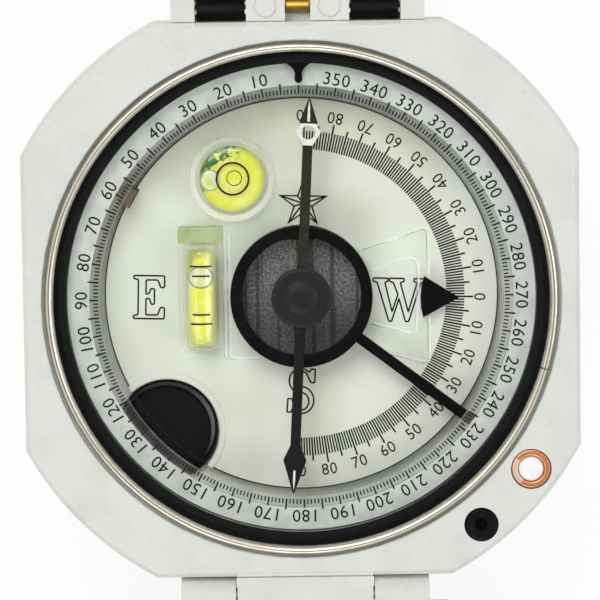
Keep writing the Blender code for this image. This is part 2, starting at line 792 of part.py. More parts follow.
def clinometer_plate():
    """One clear moulding: a wing with the seats of both levels, and a wing that holds the pointer."""
    x, y = ROUND_LEVEL
    block_left = LONG_LEVEL_X - LONG_BLOCK_WIDE / 2
    block_right = LONG_LEVEL_X + LONG_BLOCK_WIDE / 2
    half = LONG_BLOCK_LONG / 2
    outline = [
        (block_left, half),
        (block_left, -half + 1.5),
        (block_right, -half),
        (-4.0, -7.6),
        (7.8, -5.8),
        (10.6, -7.4),
        (16.6, -9.1),
        (16.5, 8.7),
        (7.8, 5.8),
        (-2.0, 9.0),
        (x + ROUND_LEVEL_CUP, y),
        (x, y + ROUND_LEVEL_CUP / 2),
        (x - ROUND_LEVEL_CUP / 2, y),
    ]
    window = [(9.1, 3.1), (8.9, -3.7), (14.8, -5.3), (15.2, -0.2), (15.2, 4.0), (14.3, 4.8)]
    hole = circle(HUB_RADIUS + GAP, SMALL)
    base = plate("clinometer_plate", outline, CLEAR_BOTTOM, CLEAR_TOP, "clear", (window, hole))
    wall = block(
        "long_level_seat",
        (block_left, -half + 1.0, CLEAR_BOTTOM),
        (block_right, half, CLEAR_BOTTOM + CLINO_BLOCK_HEIGHT),
    )
    cup_top = CLEAR_BOTTOM + CLINO_BLOCK_HEIGHT
    cup = rod("round_level_seat", ROUND_LEVEL_CUP, (x, y, CLEAR_BOTTOM), (x, y, cup_top), segments=40)
    join(base, wall, cup)
    room = LONG_LEVEL_RADIUS + GAP
    reach = LONG_LEVEL_LENGTH / 2 + GAP
    cut(
        base,
        block(
            "long_level_room",
            (LONG_LEVEL_X - room, -reach, CLEAR_BOTTOM - REACH),
            (LONG_LEVEL_X + room, reach, cup_top + REACH),
        ),
        rod(
            "round_level_room",
            ROUND_LEVEL_RADIUS + GAP,
            (x, y, CLEAR_BOTTOM - REACH),
            (x, y, cup_top + REACH),
        ),
    )
    return base


def long_level():
    height = CLEAR_BOTTOM + LONG_LEVEL_RADIUS + 0.05
    half = LONG_LEVEL_LENGTH / 2
    ends = (LONG_LEVEL_X, -half, height), (LONG_LEVEL_X, half, height)
    tube = rod("long_level", LONG_LEVEL_RADIUS, *ends, "liquid", 24)
    bevelled(tube, 0.4)
    return tube


def round_level():
    low = CLEAR_BOTTOM + 0.05
    top = low + ROUND_LEVEL_HEIGHT
    dome = 0.35
    profile = [(0, top)]
    for i in range(1, 5):
        r = (ROUND_LEVEL_RADIUS - 0.2) * i / 4
        profile.append((r, top - dome * (i / 4) ** 2))
    profile += [(ROUND_LEVEL_RADIUS, top - dome - 0.2), (ROUND_LEVEL_RADIUS, low), (0, low)]
    return turned("round_level", profile, "liquid", MIDDLE, ROUND_LEVEL)


def clinometer_pointer():
    low = CLEAR_TOP + PLAY
    base = [(POINTER_BASE_X - 0.4 * (1 - (t / 3) ** 2), -POINTER_HALF * t / 3) for t in (-3, -1.5, 0, 1.5, 3)]
    return plate("clinometer_pointer", base + [(POINTER_TIP_X, 0.0)], low, low + POINTER_THICK, "black")


def damping_disc():
    first = math.degrees(math.asin(DAMPER_FLAT / DAMPER_RADIUS))
    outline = arc(DAMPER_RADIUS, 180 - first, 360 + first, 40)
    hole = circle(PIVOT_RADIUS + GAP, SMALL)
    return plate("damping_disc", outline, DAMPER_BOTTOM, DAMPER_BOTTOM + DAMPER_THICK, "damper", (hole,))


def clinometer_lever():
    """The lever on the back, in its recess: a hub, a bar and a finger pad with a ribbed end."""
    low = GAP
    high = low + LEVER_THICK
    lever = rod("clinometer_lever", LEVER_HUB, (0, 0, low), (0, 0, high), "black")
    half = LEVER_HUB * 0.6
    outline = [(-half, 0), (half, 0), (half * 0.7, LEVER_LONG - 3)]
    outline += arc(half * 0.7, 0, 180, 8, (0.0, LEVER_LONG - half * 0.7))
    outline += [(-half * 0.7, LEVER_LONG - 3)]
    join(lever, plate("lever_bar", outline, low, high))
    head = LEVER_SCREW + GAP
    cut(
        lever,
        rod("lever_screw_seat", head, (0, 0, low - REACH), (0, 0, low + LEVER_HEAD), segments=24),
        rod("lever_screw_hole", LEVER_SHANK + GAP, (0, 0, low), (0, 0, high + REACH), segments=SMALL),
    )
    return lever


def clinometer_screw():
    low = GAP
    head_top = low + LEVER_HEAD - GAP
    shank_top = LEVER_THICK + 3 * GAP + LEVER_SEAT - GAP
    screw = rod("clinometer_screw", LEVER_SCREW, (0, 0, low), (0, 0, head_top), "steel", 24)
    join(screw, rod("clinometer_shank", LEVER_SHANK, (0, 0, low + 0.1), (0, 0, shank_top), segments=SMALL))
    slot = SCREW_SLOT / 2
    cut(
        screw,
        block("clinometer_screw_slot", (-LEVER_SCREW - REACH, -slot, low - REACH), (LEVER_SCREW + REACH, slot, low + 0.3)),
    )
    return screw


def pivot_post():
    low = CLEAR_TOP - POST_SEAT + GAP
    shoulder = NEEDLE_BOTTOM - 1.4
    tip = NEEDLE_BOTTOM + 0.15
    profile = [(0, tip), (0.12, tip - 0.05), (PIVOT_RADIUS - 0.15, shoulder), (PIVOT_RADIUS, shoulder - 0.15)]
    return turned("pivot_post", profile + [(PIVOT_RADIUS, low), (0, low)], "steel", 20)


def needle_place():
    return Matrix.Rotation(math.radians(NEEDLE_ANGLE), 4, "Z")


def needle_blade():
    """One flat strip: a spade and arrowhead at the north end, a long leaf at the south end."""
    flare = NEEDLE_HUB * 1.25
    half = NEEDLE_HALF
    right = [
        (half * 1.25, -flare),
        (NEEDLE_HUB * 0.78, -NEEDLE_HUB * 0.62),
        (NEEDLE_HUB, 0.0),
        (NEEDLE_HUB * 0.78, NEEDLE_HUB * 0.62),
        (half * 1.25, flare),
        (half, flare + 1.2),
        (half, 19.5),
        (1.6, 21.3),
        (0.85, 22.3),
        (1.2, 22.35),
    ]
    south = [(1.5, -21.1), (half, -19.2), (half, -flare - 1.2)]
    left = [(-x, y) for x, y in reversed(south + right)]
    outline = [(0.0, -NEEDLE_SOUTH_TIP)] + south + right + [(0.0, NEEDLE_TIP)] + left
    holes = (circle(JEWEL_RADIUS + GAP, SMALL), circle(0.9, SMALL, (0.0, 21.1)))
    top = NEEDLE_BOTTOM + NEEDLE_THICK
    return plate("needle_blade", outline, NEEDLE_BOTTOM, top, "bronze", holes, needle_place())


def needle_cap():
    low = NEEDLE_BOTTOM + NEEDLE_THICK + GAP
    high = low + CAP_TALL
    profile = [
        (0, high),
        (CAP_CENTRE - 0.15, high),
        (CAP_CENTRE, high - 0.1),
        (CAP_CENTRE + 0.3, high - 0.15),
        (CAP_RADIUS - 0.3, low + CAP_RIM + 0.05),
        (CAP_RADIUS, low + CAP_RIM - 0.1),
        (CAP_RADIUS, low),
        (0, low),
    ]
    return turned("needle_cap", profile, "black", MIDDLE)


def needle_jewel():
    """A cup with a cone inside, which rests on the point of the post."""
    low = NEEDLE_BOTTOM - 0.35
    high = low + JEWEL_TALL
    profile = [
        (0, high),
        (JEWEL_RADIUS, high),
        (JEWEL_RADIUS, low),
        (JEWEL_RADIUS - 0.15, low),
        (0.4, high - 0.45),
        (0, high - 0.3),
    ]
    return turned("needle_jewel", profile, "copper", 20)


def needle_magnet():
    low = NEEDLE_BOTTOM - GAP - MAGNET_THICK
    profile = ring_profile(JEWEL_RADIUS + 2 * GAP, MAGNET_RADIUS, low, low + MAGNET_THICK, 0.08)
    return turned("needle_magnet", profile, "steel", MIDDLE)


def lift_lever():
    """A ring around the needle's hub on a bar that rocks on a cross pin in the case's wall."""
    profile = ring_profile(LIFT_RING_INNER, LIFT_RING_OUTER, LIFT_BOTTOM, LIFT_RING_TOP, 0.12)
    lever = turned("lift_lever", profile, "black", ROUND)
    half = LIFT_BAR_WIDE / 2
    top = LIFT_BOTTOM + LIFT_BAR_TALL
    inner = (LIFT_RING_INNER + LIFT_RING_OUTER) / 2
    join(
        lever,
        block("lift_bar", (inner, -half, LIFT_BOTTOM), (LIFT_PIN_AWAY + LIFT_PIN_STEM, half, top), turn=LIFT_ANGLE),
        fulcrum("fulcrum_boss", FULCRUM_BOSS, half + BOSS_PROUD),
    )
    cut(lever, fulcrum("lift_lever_bore", FULCRUM_PIN + BORE_PLAY, half + REACH))
    return lever


def lift_lever_pin():
    return fulcrum("lift_lever_pin", FULCRUM_PIN, LIFT_BAR_WIDE / 2 + FULCRUM_OVER, "steel")


def lift_pin():
    """A domed head that stands proud of the case, and the stem that reaches down to the lever."""
    top = CASE_HEIGHT + LIFT_PIN_PROUD
    shoulder = spring_top() + 0.1
    stem = LIFT_BOTTOM + LIFT_BAR_TALL + stem_play()
    profile = [(0, top)]
    for i in range(1, 5):
        turn = math.radians(90 * i / 4)
        profile.append((LIFT_PIN_RADIUS * math.sin(turn), top - 0.8 * (1 - math.cos(turn))))
    profile += [(LIFT_PIN_RADIUS, shoulder), (LIFT_PIN_STEM, shoulder), (LIFT_PIN_STEM, stem), (0, stem)]
    return turned("lift_pin", profile, "white", 24, polar(LIFT_PIN_AWAY, LIFT_ANGLE))


def stem_play():
    """The pin travels further than the lever's end, so it starts this far above it."""
    lever_drop = (LIFT_PIN_AWAY - LIFT_FULCRUM) * math.tan(lift_turn())
    return LIFT_PIN_TRAVEL - lever_drop + 0.05


def lift_turn():
    """How far the lever turns, in radians, as the ring's far side lifts the needle."""
    return (GAP + NEEDLE_LIFT - 0.1) / (LIFT_FULCRUM + LIFT_RING_OUTER)


def spring_top():
    return CASE_HEIGHT - COLLAR_TALL - 3 * GAP


def lift_pin_collar():
    """A split ring around the pin, its mouth and its score at the two places where it can be sprung out."""
    centre = polar(LIFT_PIN_AWAY, LIFT_ANGLE)
    low = CASE_HEIGHT - COLLAR_TALL - GAP
    profile = ring_profile(COLLAR_INNER, COLLAR_OUTER, low, low + COLLAR_TALL, 0.12)
    collar = turned("lift_pin_collar", profile, "copper", MIDDLE, centre)
    mouth = block("collar_mouth", (COLLAR_INNER - REACH, -0.15, low - REACH), (COLLAR_OUTER + REACH, 0.15, low + 3))
    mouth.data.transform(Matrix.Rotation(math.radians(135), 4, "Z"))
    mouth.data.transform(Matrix.Translation((centre[0] * MM, centre[1] * MM, 0)))
    cut(collar, mouth)
    return collar


def lift_pin_spring():
    """A coil between the bore's floor and the pin's shoulder."""
    x, y = polar(LIFT_PIN_AWAY, LIFT_ANGLE)
    low = spring_floor() + SPRING_WIRE + 0.1
    high = spring_top() - SPRING_WIRE
    steps = int(SPRING_TURNS * 10)
    curve = bpy.data.curves.new("lift_pin_spring", "CURVE")
    curve.dimensions = "3D"
    curve.bevel_depth = SPRING_WIRE * MM
    curve.bevel_resolution = 1
    curve.use_fill_caps = True
    spline = curve.splines.new("POLY")
    spline.points.add(steps)
    for i, point in enumerate(spline.points):
        turn = 2 * math.pi * SPRING_TURNS * i / steps
        height = low + (high - low) * i / steps
        side = SPRING_MEAN * math.cos(turn), SPRING_MEAN * math.sin(turn)
        point.co = ((x + side[0]) * MM, (y + side[1]) * MM, height * MM, 1.0)
    rough = new_piece("lift_pin_spring_wire", curve)
    mesh = settled(rough)
    bpy.data.objects.remove(rough, do_unlink=True)
    return new_piece("lift_pin_spring", mesh, "steel")


def lock_pin():
    x, y = polar(LOCK_AWAY, LOCK_ANGLE)
    top = CASE_HEIGHT + LOCK_PROUD
    low = top - LOCK_TALL
    end = low - LOCK_STEM_LONG
    profile = [(0, top - LOCK_HOLE_DEEP), (LOCK_HOLE, top - LOCK_HOLE_DEEP), (LOCK_HOLE, top)]
    profile += [(LOCK_RADIUS - 0.15, top), (LOCK_RADIUS, top - 0.15), (LOCK_RADIUS, low)]
    profile += [(LOCK_STEM, low), (LOCK_STEM, end), (0, end)]
    return turned("lock_pin", profile, "black", MIDDLE, (x, y))


def sighting_arm():
    """A flat slotted arm with two barrels, open at its end for the folding sight."""
    start = HINGE_Y + HINGE_RADIUS + GAP
    tip = HINGE_Y + ARM_LONG
    wide = ARM_SECOND - GAP
    outline = [(wide, start), (wide, start + 5), (wide - ARM_TAPER, start + 14)]
    outline += [(ARM_TIP_HALF + ARM_NOSE, tip - 3), (ARM_TIP_HALF, tip - ARM_NOSE), (ARM_TIP_HALF - ARM_NOSE, tip)]
    outline += [(-x, y) for x, y in reversed(outline)]
    ends = HINGE_Y + ARM_SLOT_START, HINGE_Y + ARM_SLOT_END
    slot = arc(ARM_SLOT_HALF, 0, 180, 8, (0.0, ends[1])) + arc(ARM_SLOT_HALF, 180, 360, 8, (0.0, ends[0]))
    arm = plate("sighting_arm", outline, ARM_BOTTOM, ARM_TOP, "black", (slot,))
    for side in (-1, 1):
        near, far = sorted((side * (ARM_FIRST + GAP), side * (ARM_SECOND - GAP)))
        barrel = rod(f"arm_barrel_{side}", HINGE_RADIUS, (near, HINGE_Y, HINGE_Z), (far, HINGE_Y, HINGE_Z))
        outside = HINGE_Y + HINGE_RADIUS
        web_low = (near + WEB_SHY, HINGE_Y - HINGE_RADIUS + WEB_INSET, ARM_BOTTOM + WEB_SHY)
        web = block(f"arm_web_{side}", web_low, (far - WEB_SHY, outside - WEB_SHY, HINGE_Z))
        foot_low = (near + 2 * WEB_SHY, HINGE_Y, ARM_BOTTOM)
        foot = block(f"arm_foot_{side}", foot_low, (far - 2 * WEB_SHY, start + 1, ARM_TOP))
        join(arm, barrel, web, foot)
    reach = ARM_SECOND + REACH
    cut(arm, rod("arm_bore", ARM_PIN + GAP, (-reach, HINGE_Y, HINGE_Z), (reach, HINGE_Y, HINGE_Z)))
    half = PEEP_HALF + GAP
    y, z = peep_axis()
    pin_reach = half + PEEP_PIN_OVER + GAP
    cut(
        arm,
        block("peep_room", (-half, y - SIGHT_BARREL - GAP, ARM_BOTTOM - REACH), (half, tip + REACH, ARM_TOP + REACH)),
        rod("peep_bore", SIGHT_PIN + BORE_PLAY, (-pin_reach, y, z), (pin_reach, y, z), segments=SMALL),
    )
    return arm


def peep_axis():
    return HINGE_Y + ARM_LONG - PEEP_LONG, (ARM_TOP + ARM_BOTTOM) / 2


def folding_sight(name, half, long, y, z, hole):
    """A small flap with a barrel along X; it reaches from its axis by a signed length along Y."""
    side = 1 if long > 0 else -1
    tip = y + long
    outline = [(-half, y), (half, y), (half, tip - side * SIGHT_CORNER), (half - SIGHT_CORNER, tip), (-half + SIGHT_CORNER, tip)]
    outline.append((-half, tip - side * SIGHT_CORNER))
    eye = circle(hole, SMALL, (0.0, y + long * 0.62))
    low, high = z - PEEP_THICK / 2, z + PEEP_THICK / 2
    flap = plate(name, outline, low, high, "black", (eye,))
    join(flap, rod(name + "_barrel", SIGHT_BARREL, (-half, y, z), (half, y, z), segments=20))
    cut(flap, rod(name + "_bore", SIGHT_PIN + BORE_PLAY, (-half - 1, y, z), (half + 1, y, z), segments=SMALL))
    return flap


def lid_shell():
    outline = squared_circle(CASE_HALF, CORNER_RADIUS, LID_Y)
    shell = plate("lid_shell", outline, LID_BACK, LID_RIM, "case")
    bevelled(shell, EDGE_BEVEL)
    for side in (-1, 1):
        near, far = sorted((side * (LID_KNUCKLE_HALF + GAP), side * LID_OUTER))
        y = -HINGE_Y
        barrel = rod(f"lid_barrel_{side}", HINGE_RADIUS, (near, y, HINGE_Z), (far, y, HINGE_Z))
        wall = LID_Y + CASE_HALF
        outside = y + HINGE_RADIUS - WEB_INSET
        web_low = (near + WEB_SHY, y - HINGE_RADIUS + WEB_SHY, LID_RIM - 1)
        web = block(f"lid_web_{side}", web_low, (far - WEB_SHY, outside, HINGE_Z))
        foot_low = (near + 2 * WEB_SHY, wall - 2, LID_INNER + 2)
        foot = block(f"lid_foot_{side}", foot_low, (far - 2 * WEB_SHY, outside - WEB_SHY, LID_RIM))
        join(shell, barrel, web, foot)
    cut(shell, plate("lid_cavity", lid_inner(0.0), LID_INNER, LID_RIM + REACH))
    notch = ARM_SECOND + 2 * PLAY
    end = LID_Y - CASE_HALF
    notch_floor = 2 * HINGE_Z - CASE_HEIGHT - 2 * GAP - ARM_THICK - PLAY
    reach = LID_OUTER + REACH
    cut(
        shell,
        block("arm_notch", (-notch, end - REACH, notch_floor), (notch, end + LID_CORNER_WALL + 2, LID_RIM + REACH)),
        rod("lid_bore", LID_PIN + GAP, (-reach, -HINGE_Y, HINGE_Z), (reach, -HINGE_Y, HINGE_Z)),
        window("lid_window", LID_BACK - REACH, LID_INNER + REACH, 0.0),
    )
    add_sight_lugs(shell)
    return shell


def lid_inner(inset):
    half = CASE_HALF - LID_WALL - inset
    return squared_circle(half, CORNER_RADIUS - LID_CORNER_WALL - inset, LID_Y)


def window(name, low, high, grow):
    centre = (0.0, LID_Y + CASE_HALF - WINDOW_AWAY)
    return plate(name, stadium(WINDOW_HALF + grow, WINDOW_ROUND + grow, centre), low, high)


def lid_sight_axis():
    y = LID_Y - CASE_HALF + LID_WALL + SIGHT_BARREL + LID_SIGHT_BACK
    z = LID_INNER + GAP + MIRROR_THICK + LID_SIGHT_OVER + SIGHT_BARREL
    return y, z


def add_sight_lugs(shell):
    y, z = lid_sight_axis()
    end = LID_Y - CASE_HALF + LID_WALL / 2
    inner = LID_SIGHT_HALF + GAP
    outer = inner + LID_SIGHT_LUG
    low = LID_INNER + GAP + MIRROR_THICK + GAP
    for side in (-1, 1):
        left, right = sorted((side * inner, side * outer))
        join(shell, block(f"sight_lug_{side}", (left, end, low), (right, y + SIGHT_BARREL, z + SIGHT_BARREL)))
    reach = outer + REACH
    cut(shell, rod("sight_bore", SIGHT_PIN + BORE_PLAY, (-reach, y, z), (reach, y, z), segments=SMALL))


def mirror():
    low = LID_INNER + GAP
    glass = plate("mirror", lid_inner(GAP), low, low + MIRROR_THICK, "mirror")
    cut(glass, window("mirror_window", low - REACH, low + MIRROR_THICK + REACH, 0.3))
    return glass


def build():
    """Makes every piece, and hangs the moving ones on empties at their joints' axes."""
    case_body()
    dial_plate()
    pocket_disc()
    ring_washer()
    glass_parts()
    snap_ring()
    index_pin()
    pinion_bearing()
    clinometer_bushing()
    lift_lever_pin()
    lift_pin_collar()
    lift_pin_spring()
    arm_reach = ARM_OUTER - PLAY
    lid_reach = LID_OUTER - PLAY
    rod("arm_hinge_pin", ARM_PIN, (-arm_reach, HINGE_Y, HINGE_Z), (arm_reach, HINGE_Y, HINGE_Z), "brass", 24)
    rod("lid_hinge_pin", LID_PIN, (-lid_reach, -HINGE_Y, HINGE_Z), (lid_reach, -HINGE_Y, HINGE_Z), "steel", 24)
    carried("azimuth_axis", (0, 0, RING_TOP), azimuth_ring(), ring_gear())
    carried("screw_axis", radial(SCREW_HEAD_OUT, SCREW_HEAD_OUT, SCREW_ANGLE, SCREW_Z)[0], adjusting_screw())
    clinometer = [clinometer_hub(), clinometer_plate(), long_level(), round_level(), clinometer_pointer()]
    clinometer += [damping_disc(), clinometer_lever(), clinometer_screw(), pivot_post()]
    carried("clinometer_axis", (0, 0, DIAL_TOP), *clinometer)
    needle = carried("needle_axis", (0, 0, NEEDLE_BOTTOM), needle_blade(), needle_cap(), needle_magnet())
    lifted = carried("needle_lift_axis", (0, 0, NEEDLE_BOTTOM), needle_jewel())
    needle.parent = lifted
    needle.matrix_parent_inverse = lifted.matrix_world.inverted()
    rock = (*polar(LIFT_FULCRUM, LIFT_ANGLE), LIFT_BOTTOM + LIFT_BAR_TALL / 2)
    carried("lift_lever_axis", rock, lift_lever())
    carried("lift_pin_axis", (*polar(LIFT_PIN_AWAY, LIFT_ANGLE), CASE_HEIGHT), lift_pin())
    carried("lock_pin_axis", (*polar(LOCK_AWAY, LOCK_ANGLE), CASE_HEIGHT), lock_pin())
    build_arm()
    build_lid()


def build_arm():
    y, z = peep_axis()
    reach = PEEP_HALF + GAP + PEEP_PIN_OVER
    pin = rod("peep_sight_pin", SIGHT_PIN, (-reach, y, z), (reach, y, z), "steel", SMALL)
    flap = folding_sight("peep_sight", PEEP_HALF, PEEP_LONG - 0.1, y, z, PEEP_HOLE)
    arm = carried("arm_axis", (0, HINGE_Y, HINGE_Z), sighting_arm(), pin)
    sight = carried("peep_axis", (0, y, z), flap)
    sight.parent = arm
    sight.matrix_parent_inverse = arm.matrix_world.inverted()


def build_lid():
    y, z = lid_sight_axis()
    reach = LID_SIGHT_HALF + GAP + LID_SIGHT_LUG
    pin = rod("lid_sight_pin", SIGHT_PIN, (-reach, y, z), (reach, y, z), "steel", SMALL)
    flap = folding_sight("lid_sight", LID_SIGHT_HALF, LID_SIGHT_LONG, y, z, PEEP_HOLE)
    lid = carried("lid_axis", (0, -HINGE_Y, HINGE_Z), lid_shell(), mirror(), pin)
    sight = carried("lid_sight_axis", (0, y, z), flap)
    sight.parent = lid
    sight.matrix_parent_inverse = lid.matrix_world.inverted()


build()
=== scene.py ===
import math

import bmesh
import bpy
from mathutils import Matrix, Vector


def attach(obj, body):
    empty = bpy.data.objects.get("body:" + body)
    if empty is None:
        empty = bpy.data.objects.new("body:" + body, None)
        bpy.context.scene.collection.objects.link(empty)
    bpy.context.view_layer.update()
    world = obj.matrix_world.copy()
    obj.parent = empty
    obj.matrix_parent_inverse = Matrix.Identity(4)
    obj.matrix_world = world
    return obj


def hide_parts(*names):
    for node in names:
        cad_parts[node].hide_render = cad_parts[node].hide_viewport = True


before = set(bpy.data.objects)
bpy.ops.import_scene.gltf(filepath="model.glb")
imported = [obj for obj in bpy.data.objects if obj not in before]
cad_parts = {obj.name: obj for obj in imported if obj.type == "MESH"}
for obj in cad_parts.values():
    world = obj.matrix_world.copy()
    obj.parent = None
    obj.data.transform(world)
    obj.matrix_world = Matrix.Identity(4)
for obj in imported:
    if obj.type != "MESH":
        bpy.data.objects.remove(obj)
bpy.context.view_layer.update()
mm = 0.001
print("frame loaded:", len(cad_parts), "nodes")


# shader helpers


def ink(code):
    # a colour written as in a paint program, made linear
    parts = [int(code[i : i + 2], 16) / 255 for i in (0, 2, 4)]
    return (*[c / 12.92 if c <= 0.04045 else ((c + 0.055) / 1.055) ** 2.4 for c in parts], 1.0)


class Val:
    # one output of a node, so that maths on it can be written as an expression
    def __init__(self, maker, socket):
        self.maker = maker
        self.socket = socket

    def __add__(self, other):
        return self.maker.sum("ADD", self, other)

    def __radd__(self, other):
        return self.maker.sum("ADD", other, self)

    def __sub__(self, other):
        return self.maker.sum("SUBTRACT", self, other)

    def __rsub__(self, other):
        return self.maker.sum("SUBTRACT", other, self)

    def __mul__(self, other):
        return self.maker.sum("MULTIPLY", self, other)

    def __rmul__(self, other):
        return self.maker.sum("MULTIPLY", other, self)

    def __truediv__(self, other):
        return self.maker.sum("DIVIDE", self, other)

    def __pow__(self, other):
        return self.maker.sum("POWER", self, other)


class Maker:
    # adds nodes to a tree, for a material or for geometry
    def __init__(self, tree):
        self.tree = tree
        self.lanes = 0

    def add(self, kind, settings=None, values=None):
        node = self.tree.nodes.new(kind)
        self.lanes += 1
        node.location = (-220 * (self.lanes % 9), -160 * (self.lanes // 9))
        for key, value in (settings or {}).items():
            setattr(node, key, value)
        for key, value in (values or {}).items():
            if isinstance(value, Val):
                self.tree.links.new(value.socket, node.inputs[key])
            else:
                node.inputs[key].default_value = value
        return node

    def take(self, kind, output=0, settings=None, values=None):
        return Val(self, self.add(kind, settings, values).outputs[output])

    def sum(self, operation, *values):
        return self.take("ShaderNodeMath", 0, {"operation": operation}, dict(enumerate(values)))

    def joined(self, x, y, z):
        return self.take("ShaderNodeCombineXYZ", 0, {}, {"X": x, "Y": y, "Z": z})


class Finish(Maker):
    # a material under construction
    def __init__(self, name):
        self.material = bpy.data.materials.new(name)
        self.material.use_nodes = True
        super().__init__(self.material.node_tree)
        self.tree.nodes.clear()

    def clamped(self, value, low=0.0, high=1.0):
        return self.take("ShaderNodeClamp", 0, {}, {"Value": value, "Min": low, "Max": high})

    def ramp(self, value, start, end):
        # 0 below start, 1 above end, smooth between; start may be the larger
        settings = {"interpolation_type": "SMOOTHSTEP"}
        if start < end:
            return self.take(
                "ShaderNodeMapRange", 0, settings, {"Value": value, "From Min": start, "From Max": end}
            )
        return 1.0 - self.ramp(value, end, start)

    def mix(self, factor, first, second):
        return self.take("ShaderNodeMix", 2, {"data_type": "RGBA"}, {0: factor, 6: first, 7: second})

    def place(self):
        # x, y, z in millimetres
        where = self.take("ShaderNodeTexCoord", "Object")
        apart = self.add("ShaderNodeSeparateXYZ", {}, {"Vector": where})
        return [Val(self, apart.outputs[i]) * 1000.0 for i in range(3)]

    def round(self, x, y, centre=(0.0, 0.0)):
        # distance from a centre and the angle about it
        dx, dy = x - centre[0], y - centre[1]
        return self.sum("SQRT", dx * dx + dy * dy), self.sum("ARCTAN2", dy, dx)

    def noise(self, spot, scale, detail=2.0, rough=0.5):
        values = {"Vector": spot, "Scale": scale, "Detail": detail, "Roughness": rough}
        return self.take("ShaderNodeTexNoise", 0, {}, values)

    def cells(self, spot, scale):
        return self.take("ShaderNodeTexVoronoi", 0, {}, {"Vector": spot, "Scale": scale})

    def bump(self, height, strength, distance):
        # distance in millimetres
        values = {"Height": height, "Strength": strength, "Distance": distance * mm}
        return self.take("ShaderNodeBump", 0, {}, values)

    def done(self, shader):
        self.add("ShaderNodeOutputMaterial", {}, {"Surface": shader})
        return self.material

    def coat(self, **values):
        # a principled surface; each name is a socket's, with _ for a space
        named = {key.replace("_", " "): value for key, value in values.items()}
        return self.done(self.take("ShaderNodeBsdfPrincipled", 0, {}, named))


def begun(name):
    # a new material, and the place on it in millimetres as three values and as one vector
    f = Finish(name)
    x, y, z = f.place()
    return f, x, y, z, f.joined(x, y, z)


# finishes

copperMiddle = (29.03, -21.96)
composite = {"light": "e0e3dd", "shade": "d0d4cb", "grime": "b2b5ab", "peel": 0.9, "rough": 0.5}
dialCoat = {"light": "e9eee0", "shade": "dfe4d3", "north": "ccd2b0", "rough": 0.55}
ringCoat = {"light": "d9ded8", "shade": "c8cec7"}
mouldedBlack = {"dark": "080909", "worn": "191b1b", "gleam": 0.14}
paintedBlack = {"dark": "050606", "worn": "151717", "gleam": 0.1}
capBlack = {"dark": "0d1011", "worn": "252c30", "gleam": 0.35}
bladeBronze = {"north": "27221a", "south": "0e0d0d", "worn": "3f3428"}
# the spirit's two deeper greens are painted shade at its rim and a painted reflection of things seen through
# it
spirit = {"bright": "e2e43c", "deep": "9fae2c", "pale": "f1f29a", "leaf": "1f640d"}


levelSizes = {
    "round": (-8.7, 15.2),
    "bubble": (-11.45, 15.1),
    "target": (-8.62, 15.3),
    "centre": (-8.42, 15.36),
    "plateTop": 13.4,
    "tubeX": -12.9,
    "tubeZ": 14.75,
    "tubeHalf": 6.75,
    "tubeBubbleY": 2.7,
    "lines": ((4.1, 42), (-3.33, 42), (2.85, 34), (-2.13, 34)),
}


def compositeFinish():
    # hard polymer with a fine orange peel, faint mottling and a little handling grime
    f, x, y, z, spot = begun("compositeCoat")
    mottle = f.ramp(f.noise(spot, 0.16, 4.0, 0.6), 0.35, 0.7)
    grain = f.noise(spot, 3.4, 3.0, 0.65)
    specks = f.ramp(f.noise(spot, 1.1, 3.0, 0.7), 0.66, 0.76)
    base = f.mix(mottle * 0.55, ink(composite["light"]), ink(composite["shade"]))
    base = f.mix(specks * 0.35, base, ink(composite["grime"]))
    base = f.mix(f.ramp(grain, 0.5, 0.68) * 0.4, base, ink(composite["shade"]))
    height = f.noise(spot, 2.2, 2.0, 0.5) * 0.8 + grain * 0.8
    rough = composite["rough"] + mottle * 0.12 - specks * 0.1
    normal = f.bump(height, composite["peel"], 0.12)
    return f.coat(Base_Color=base, Roughness=rough, Normal=normal, Specular_IOR_Level=0.4)


def dialFinish():
    # cream sheet, a shade greener towards the north where the case's wall shades it
    f, x, y, z, spot = begun("dialCoat")
    soft = f.noise(spot, 0.12, 2.0, 0.5)
    base = f.mix(f.ramp(soft, 0.35, 0.7), ink(dialCoat["light"]), ink(dialCoat["shade"]))
    reach = f.round(x, y)[0]
    north = f.ramp(y, 8.0, 26.0) * f.ramp(reach, 14.0, 25.0)
    base = f.mix(north * 0.5, base, ink(dialCoat["north"]))
    fine = f.noise(spot, 9.0, 2.0, 0.6)
    rough = dialCoat["rough"] + fine * 0.12
    return f.coat(Base_Color=base, Roughness=rough, Normal=f.bump(fine, 0.08, 0.02))


def ringFinish():
    f, x, y, z, spot = begun("ringCoat")
    cloud = f.ramp(f.noise(spot, 0.35, 3.0, 0.6), 0.35, 0.7)
    fine = f.noise(spot, 7.0, 2.0, 0.6)
    base = f.mix(cloud, ink(ringCoat["light"]), ink(ringCoat["shade"]))
    rough = 0.38 + fine * 0.15
    return f.coat(Base_Color=base, Roughness=rough, Normal=f.bump(fine, 0.06, 0.02))


def blackFinish(name, sizes, rough, peel, wear):
    # satin black: fine grain, a dusty haze and paler rubbed spots
    f, x, y, z, spot = begun(name)
    grain = f.noise(spot, 5.0, 3.0, 0.6)
    haze = f.ramp(f.noise(spot, 0.5, 3.0, 0.6), 0.45, 0.75)
    rubbed = f.ramp(f.noise(spot, 2.3, 4.0, 0.7), 0.6, 0.75)
    base = f.mix(f.clamped(haze * 0.25 + rubbed * wear), ink(sizes["dark"]), ink(sizes["worn"]))
    gloss = rough + haze * 0.12 - rubbed * 0.08
    normal = f.bump(grain, peel, 0.05)
    return f.coat(Base_Color=base, Roughness=gloss, Specular_IOR_Level=sizes["gleam"], Normal=normal)


